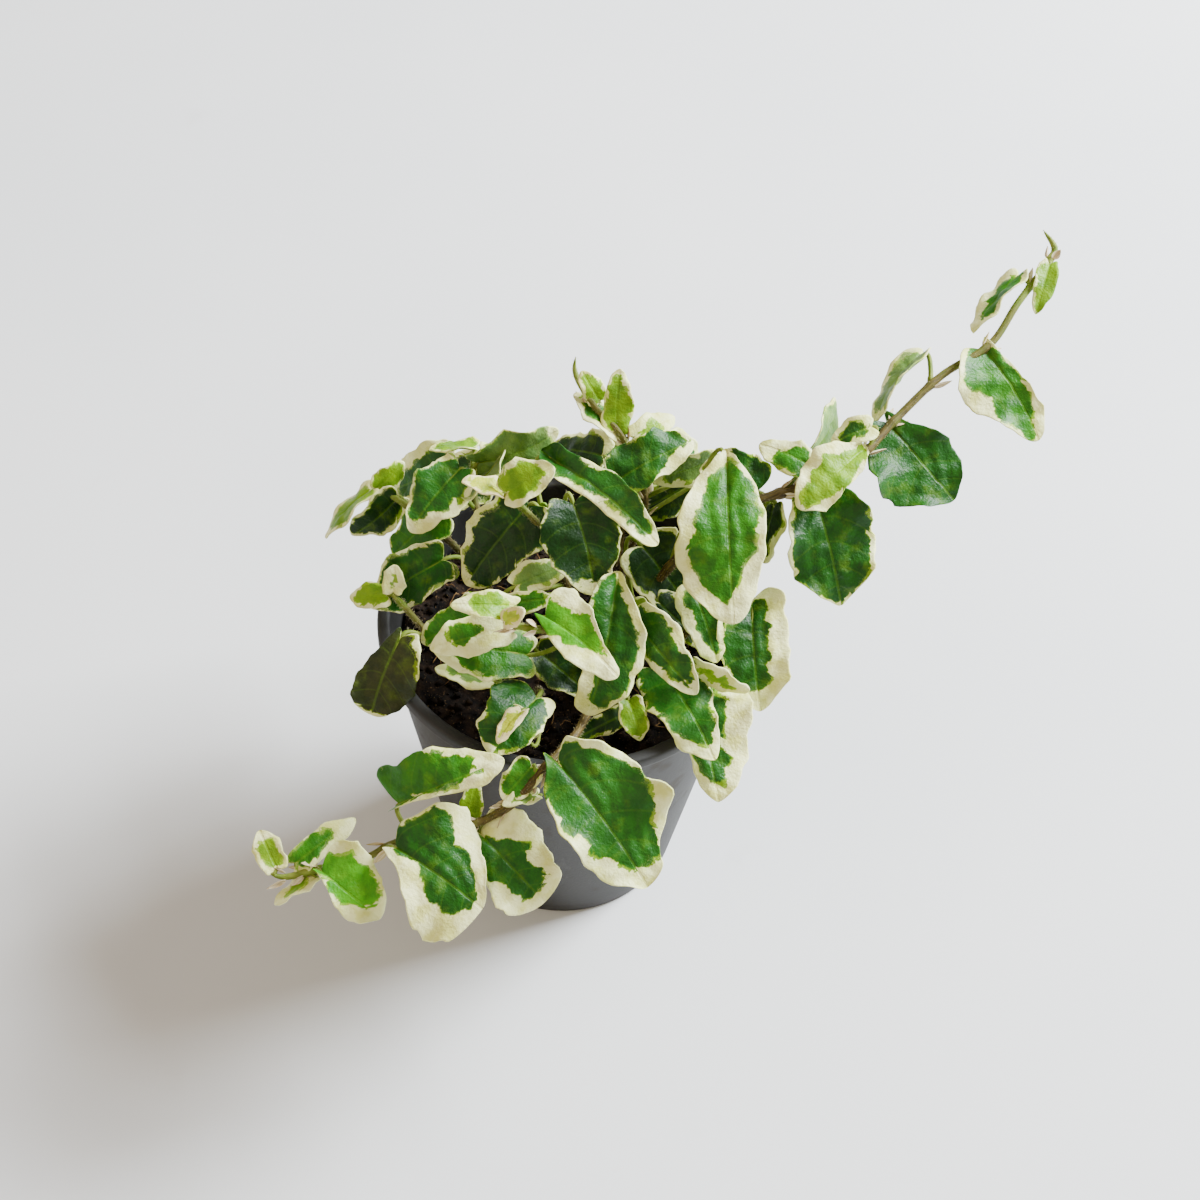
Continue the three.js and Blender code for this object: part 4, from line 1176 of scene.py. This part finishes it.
def add_crumb(x, y, size, number):
    """An irregular lump, from the corners of a squashed and dented ball."""
    corners = [(0, 0, -1.0)]
    for ring in range(1, CRUMB_RINGS):
        fall = math.pi * ring / CRUMB_RINGS
        for side in range(CRUMB_SIDES):
            angle = 2 * math.pi * (side + 0.5 * (ring % 2)) / CRUMB_SIDES
            dent = varied(CRUMB_DENT, number, ring * CRUMB_SIDES + side)
            corners.append((*polar(dent * math.sin(fall), angle), -dent * math.cos(fall)))
    corners.append((0, 0, 1.0))
    shape = np.array(corners) * [size, size * varied(CRUMB_WIDTH, number, 50), size * 0.7]
    turn = 6.3 * draw(number, 51)
    spun = np.column_stack([shape[:, 0] * math.cos(turn) - shape[:, 1] * math.sin(turn),
                            shape[:, 0] * math.sin(turn) + shape[:, 1] * math.cos(turn), shape[:, 2]])
    builder.add(spun + [x, y, soil_height(x, y) + 0.2 * size], crumb_faces)


def scattered(number, inset, first_draw):
    """A random place on the bed, no nearer to its edge than the inset."""
    radius = (bed_edge - inset) * math.sqrt(draw(number, first_draw))
    return polar(radius, 2 * math.pi * draw(number, first_draw + 1))


for number in range(CRUMBS):
    size = CRUMB_SIZE[0] + CRUMB_SIZE[1] * draw(number, 62) ** 3
    add_crumb(*scattered(number, inset=1.5, first_draw=60), size, number)
print("The bed has", CRUMBS, "crumbs")

# %% The soil's fibres and finish
FIBRES = 60
FIBRE_STEPS = 9
FIBRE_SIDES = 5
FIBRE_RADIUS = 0.09
FIBRE_LENGTH = (2, 4)


def soil_recipe(wires):
    place = wires.place()
    lump = wires.cloud(place, 500, 4.0)
    speck = wires.cloud(place, 2200, 3.0)
    colour = lump.step(0.35, 0.68).mix(paint(13, 9, 6), paint(44, 32, 22))
    colour = (speck.step(0.63, 0.7) * 0.7).mix(colour, paint(112, 88, 60))
    return colour, 0.85 + lump * 0.12, lump + speck * 0.6, 0.3


def fibre_recipe(wires):
    tone = wires.cloud(wires.place(), 700, 2.0)
    colour = tone.step(0.35, 0.65).mix(paint(88, 62, 38), paint(142, 110, 72))
    return colour, 0.8 + tone * 0.1, tone, 0.05


soil_finish = finish("potting_mix", soil_recipe, specular=0.2)
fibre_finish = finish("peat_fibre", fibre_recipe, specular=0.2)
for number in range(FIBRES):
    centre = np.array(scattered(number, inset=4, first_draw=70))
    heading = 2 * math.pi * draw(number, 72)
    length = varied(FIBRE_LENGTH, number, 73)
    path = []
    for t in np.linspace(-0.5, 0.5, FIBRE_STEPS):
        bend = heading + 1.6 * (draw(number, 74) - 0.5) * t
        x, y = centre + polar(length * t, bend)
        path.append((x, y, soil_height(x, y) + 0.35 + 0.5 * draw(number, 75) * (0.25 - t * t)))
    points, faces, _, _ = tube(np.array(path), np.full(FIBRE_STEPS, FIBRE_RADIUS), FIBRE_SIDES)
    builder.add(points, faces, slot=1)
soil = builder.make("potting_soil", [soil_finish, fibre_finish])
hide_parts("soil")
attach(soil, "root")
print("Soil faces:", len(soil.data.polygons))

# %% [markdown]
# ## The floor, the light and the camera
#
# The plant stands on a pale table. The light is soft daylight from the upper right and slightly
# behind, so a broad faint shadow falls to the lower left, and a weak warm fill keeps that shadow
# beige. The camera looks down by 50 degrees, with a small roll.

# %% The floor
FLOOR_REACH = 1500


def floor_recipe(wires):
    place = wires.place()
    haze = wires.cloud(place, 9, 3.0)
    mark = wires.cloud(place, 45, 4.0).step(0.66, 0.8)
    colour = haze.step(0.3, 0.7).mix(paint(226, 227, 229), paint(232, 232, 233))
    colour = (mark * 0.12).mix(colour, paint(176, 170, 160))
    return colour, 0.6 + haze * 0.1, haze, 0.02


floor_finish = finish("pale_table", floor_recipe, specular=0.25)
corners = [(x * FLOOR_REACH, y * FLOOR_REACH, 0) for x, y in ((-1, -1), (1, -1), (1, 1), (-1, 1))]
builder = Builder()
builder.add(corners, [(0, 1, 2, 3)])
floor = builder.make("floor", [floor_finish], smooth=False)
print("Floor:", 2 * FLOOR_REACH / 1000, "m square")

# %% Lights
PLANT = Vector((0, 0, 0.05))


def soft_light(name, place, size, power, colour):
    """A square soft box that faces the plant. Places are in metres."""
    light = bpy.data.lights.new(name, "AREA")
    light.size, light.energy, light.color = size, power, colour
    lamp = bpy.data.objects.new(name, light)
    lamp.location = place
    lamp.rotation_euler = (PLANT - Vector(place)).to_track_quat("-Z", "Y").to_euler()
    bpy.context.scene.collection.objects.link(lamp)


soft_light("window", (0.68, 0.36, 0.6), size=0.44, power=42, colour=(0.9, 0.96, 1.0))
soft_light("fill", (-0.6, -0.5, 0.7), size=0.9, power=3, colour=(1.0, 0.78, 0.52))
world = bpy.data.worlds.new("room")
bpy.context.scene.world = world
world.use_nodes = True
sky = world.node_tree.nodes["Background"]
sky.inputs["Color"].default_value = (1.0, 0.89, 0.76, 1)
sky.inputs["Strength"].default_value = 0.56

# %% The camera
LOOK_DOWN = math.radians(50)
ROLL = math.radians(3)
CAMERA_PLACE = Vector((4.8, -220.1, 322.4)) * MM
SENSOR_WIDTH = 36
LENS = 66

camera = bpy.data.cameras.new("camera")
camera.sensor_width = SENSOR_WIDTH
camera.lens = LENS
eye = bpy.data.objects.new("camera", camera)
ahead = Vector((0, math.cos(LOOK_DOWN), -math.sin(LOOK_DOWN)))
level_up = Vector((0, math.sin(LOOK_DOWN), math.cos(LOOK_DOWN)))
right_hand = math.cos(ROLL) * Vector((1, 0, 0)) + math.sin(ROLL) * level_up
eye_up = right_hand.cross(ahead)
rows = [[right_hand[i], eye_up[i], -ahead[i], CAMERA_PLACE[i]] for i in range(3)]
eye.matrix_world = Matrix([*rows, [0, 0, 0, 1]])
bpy.context.scene.collection.objects.link(eye)
bpy.context.scene.camera = eye
print("Camera at", [round(value, 3) for value in CAMERA_PLACE])
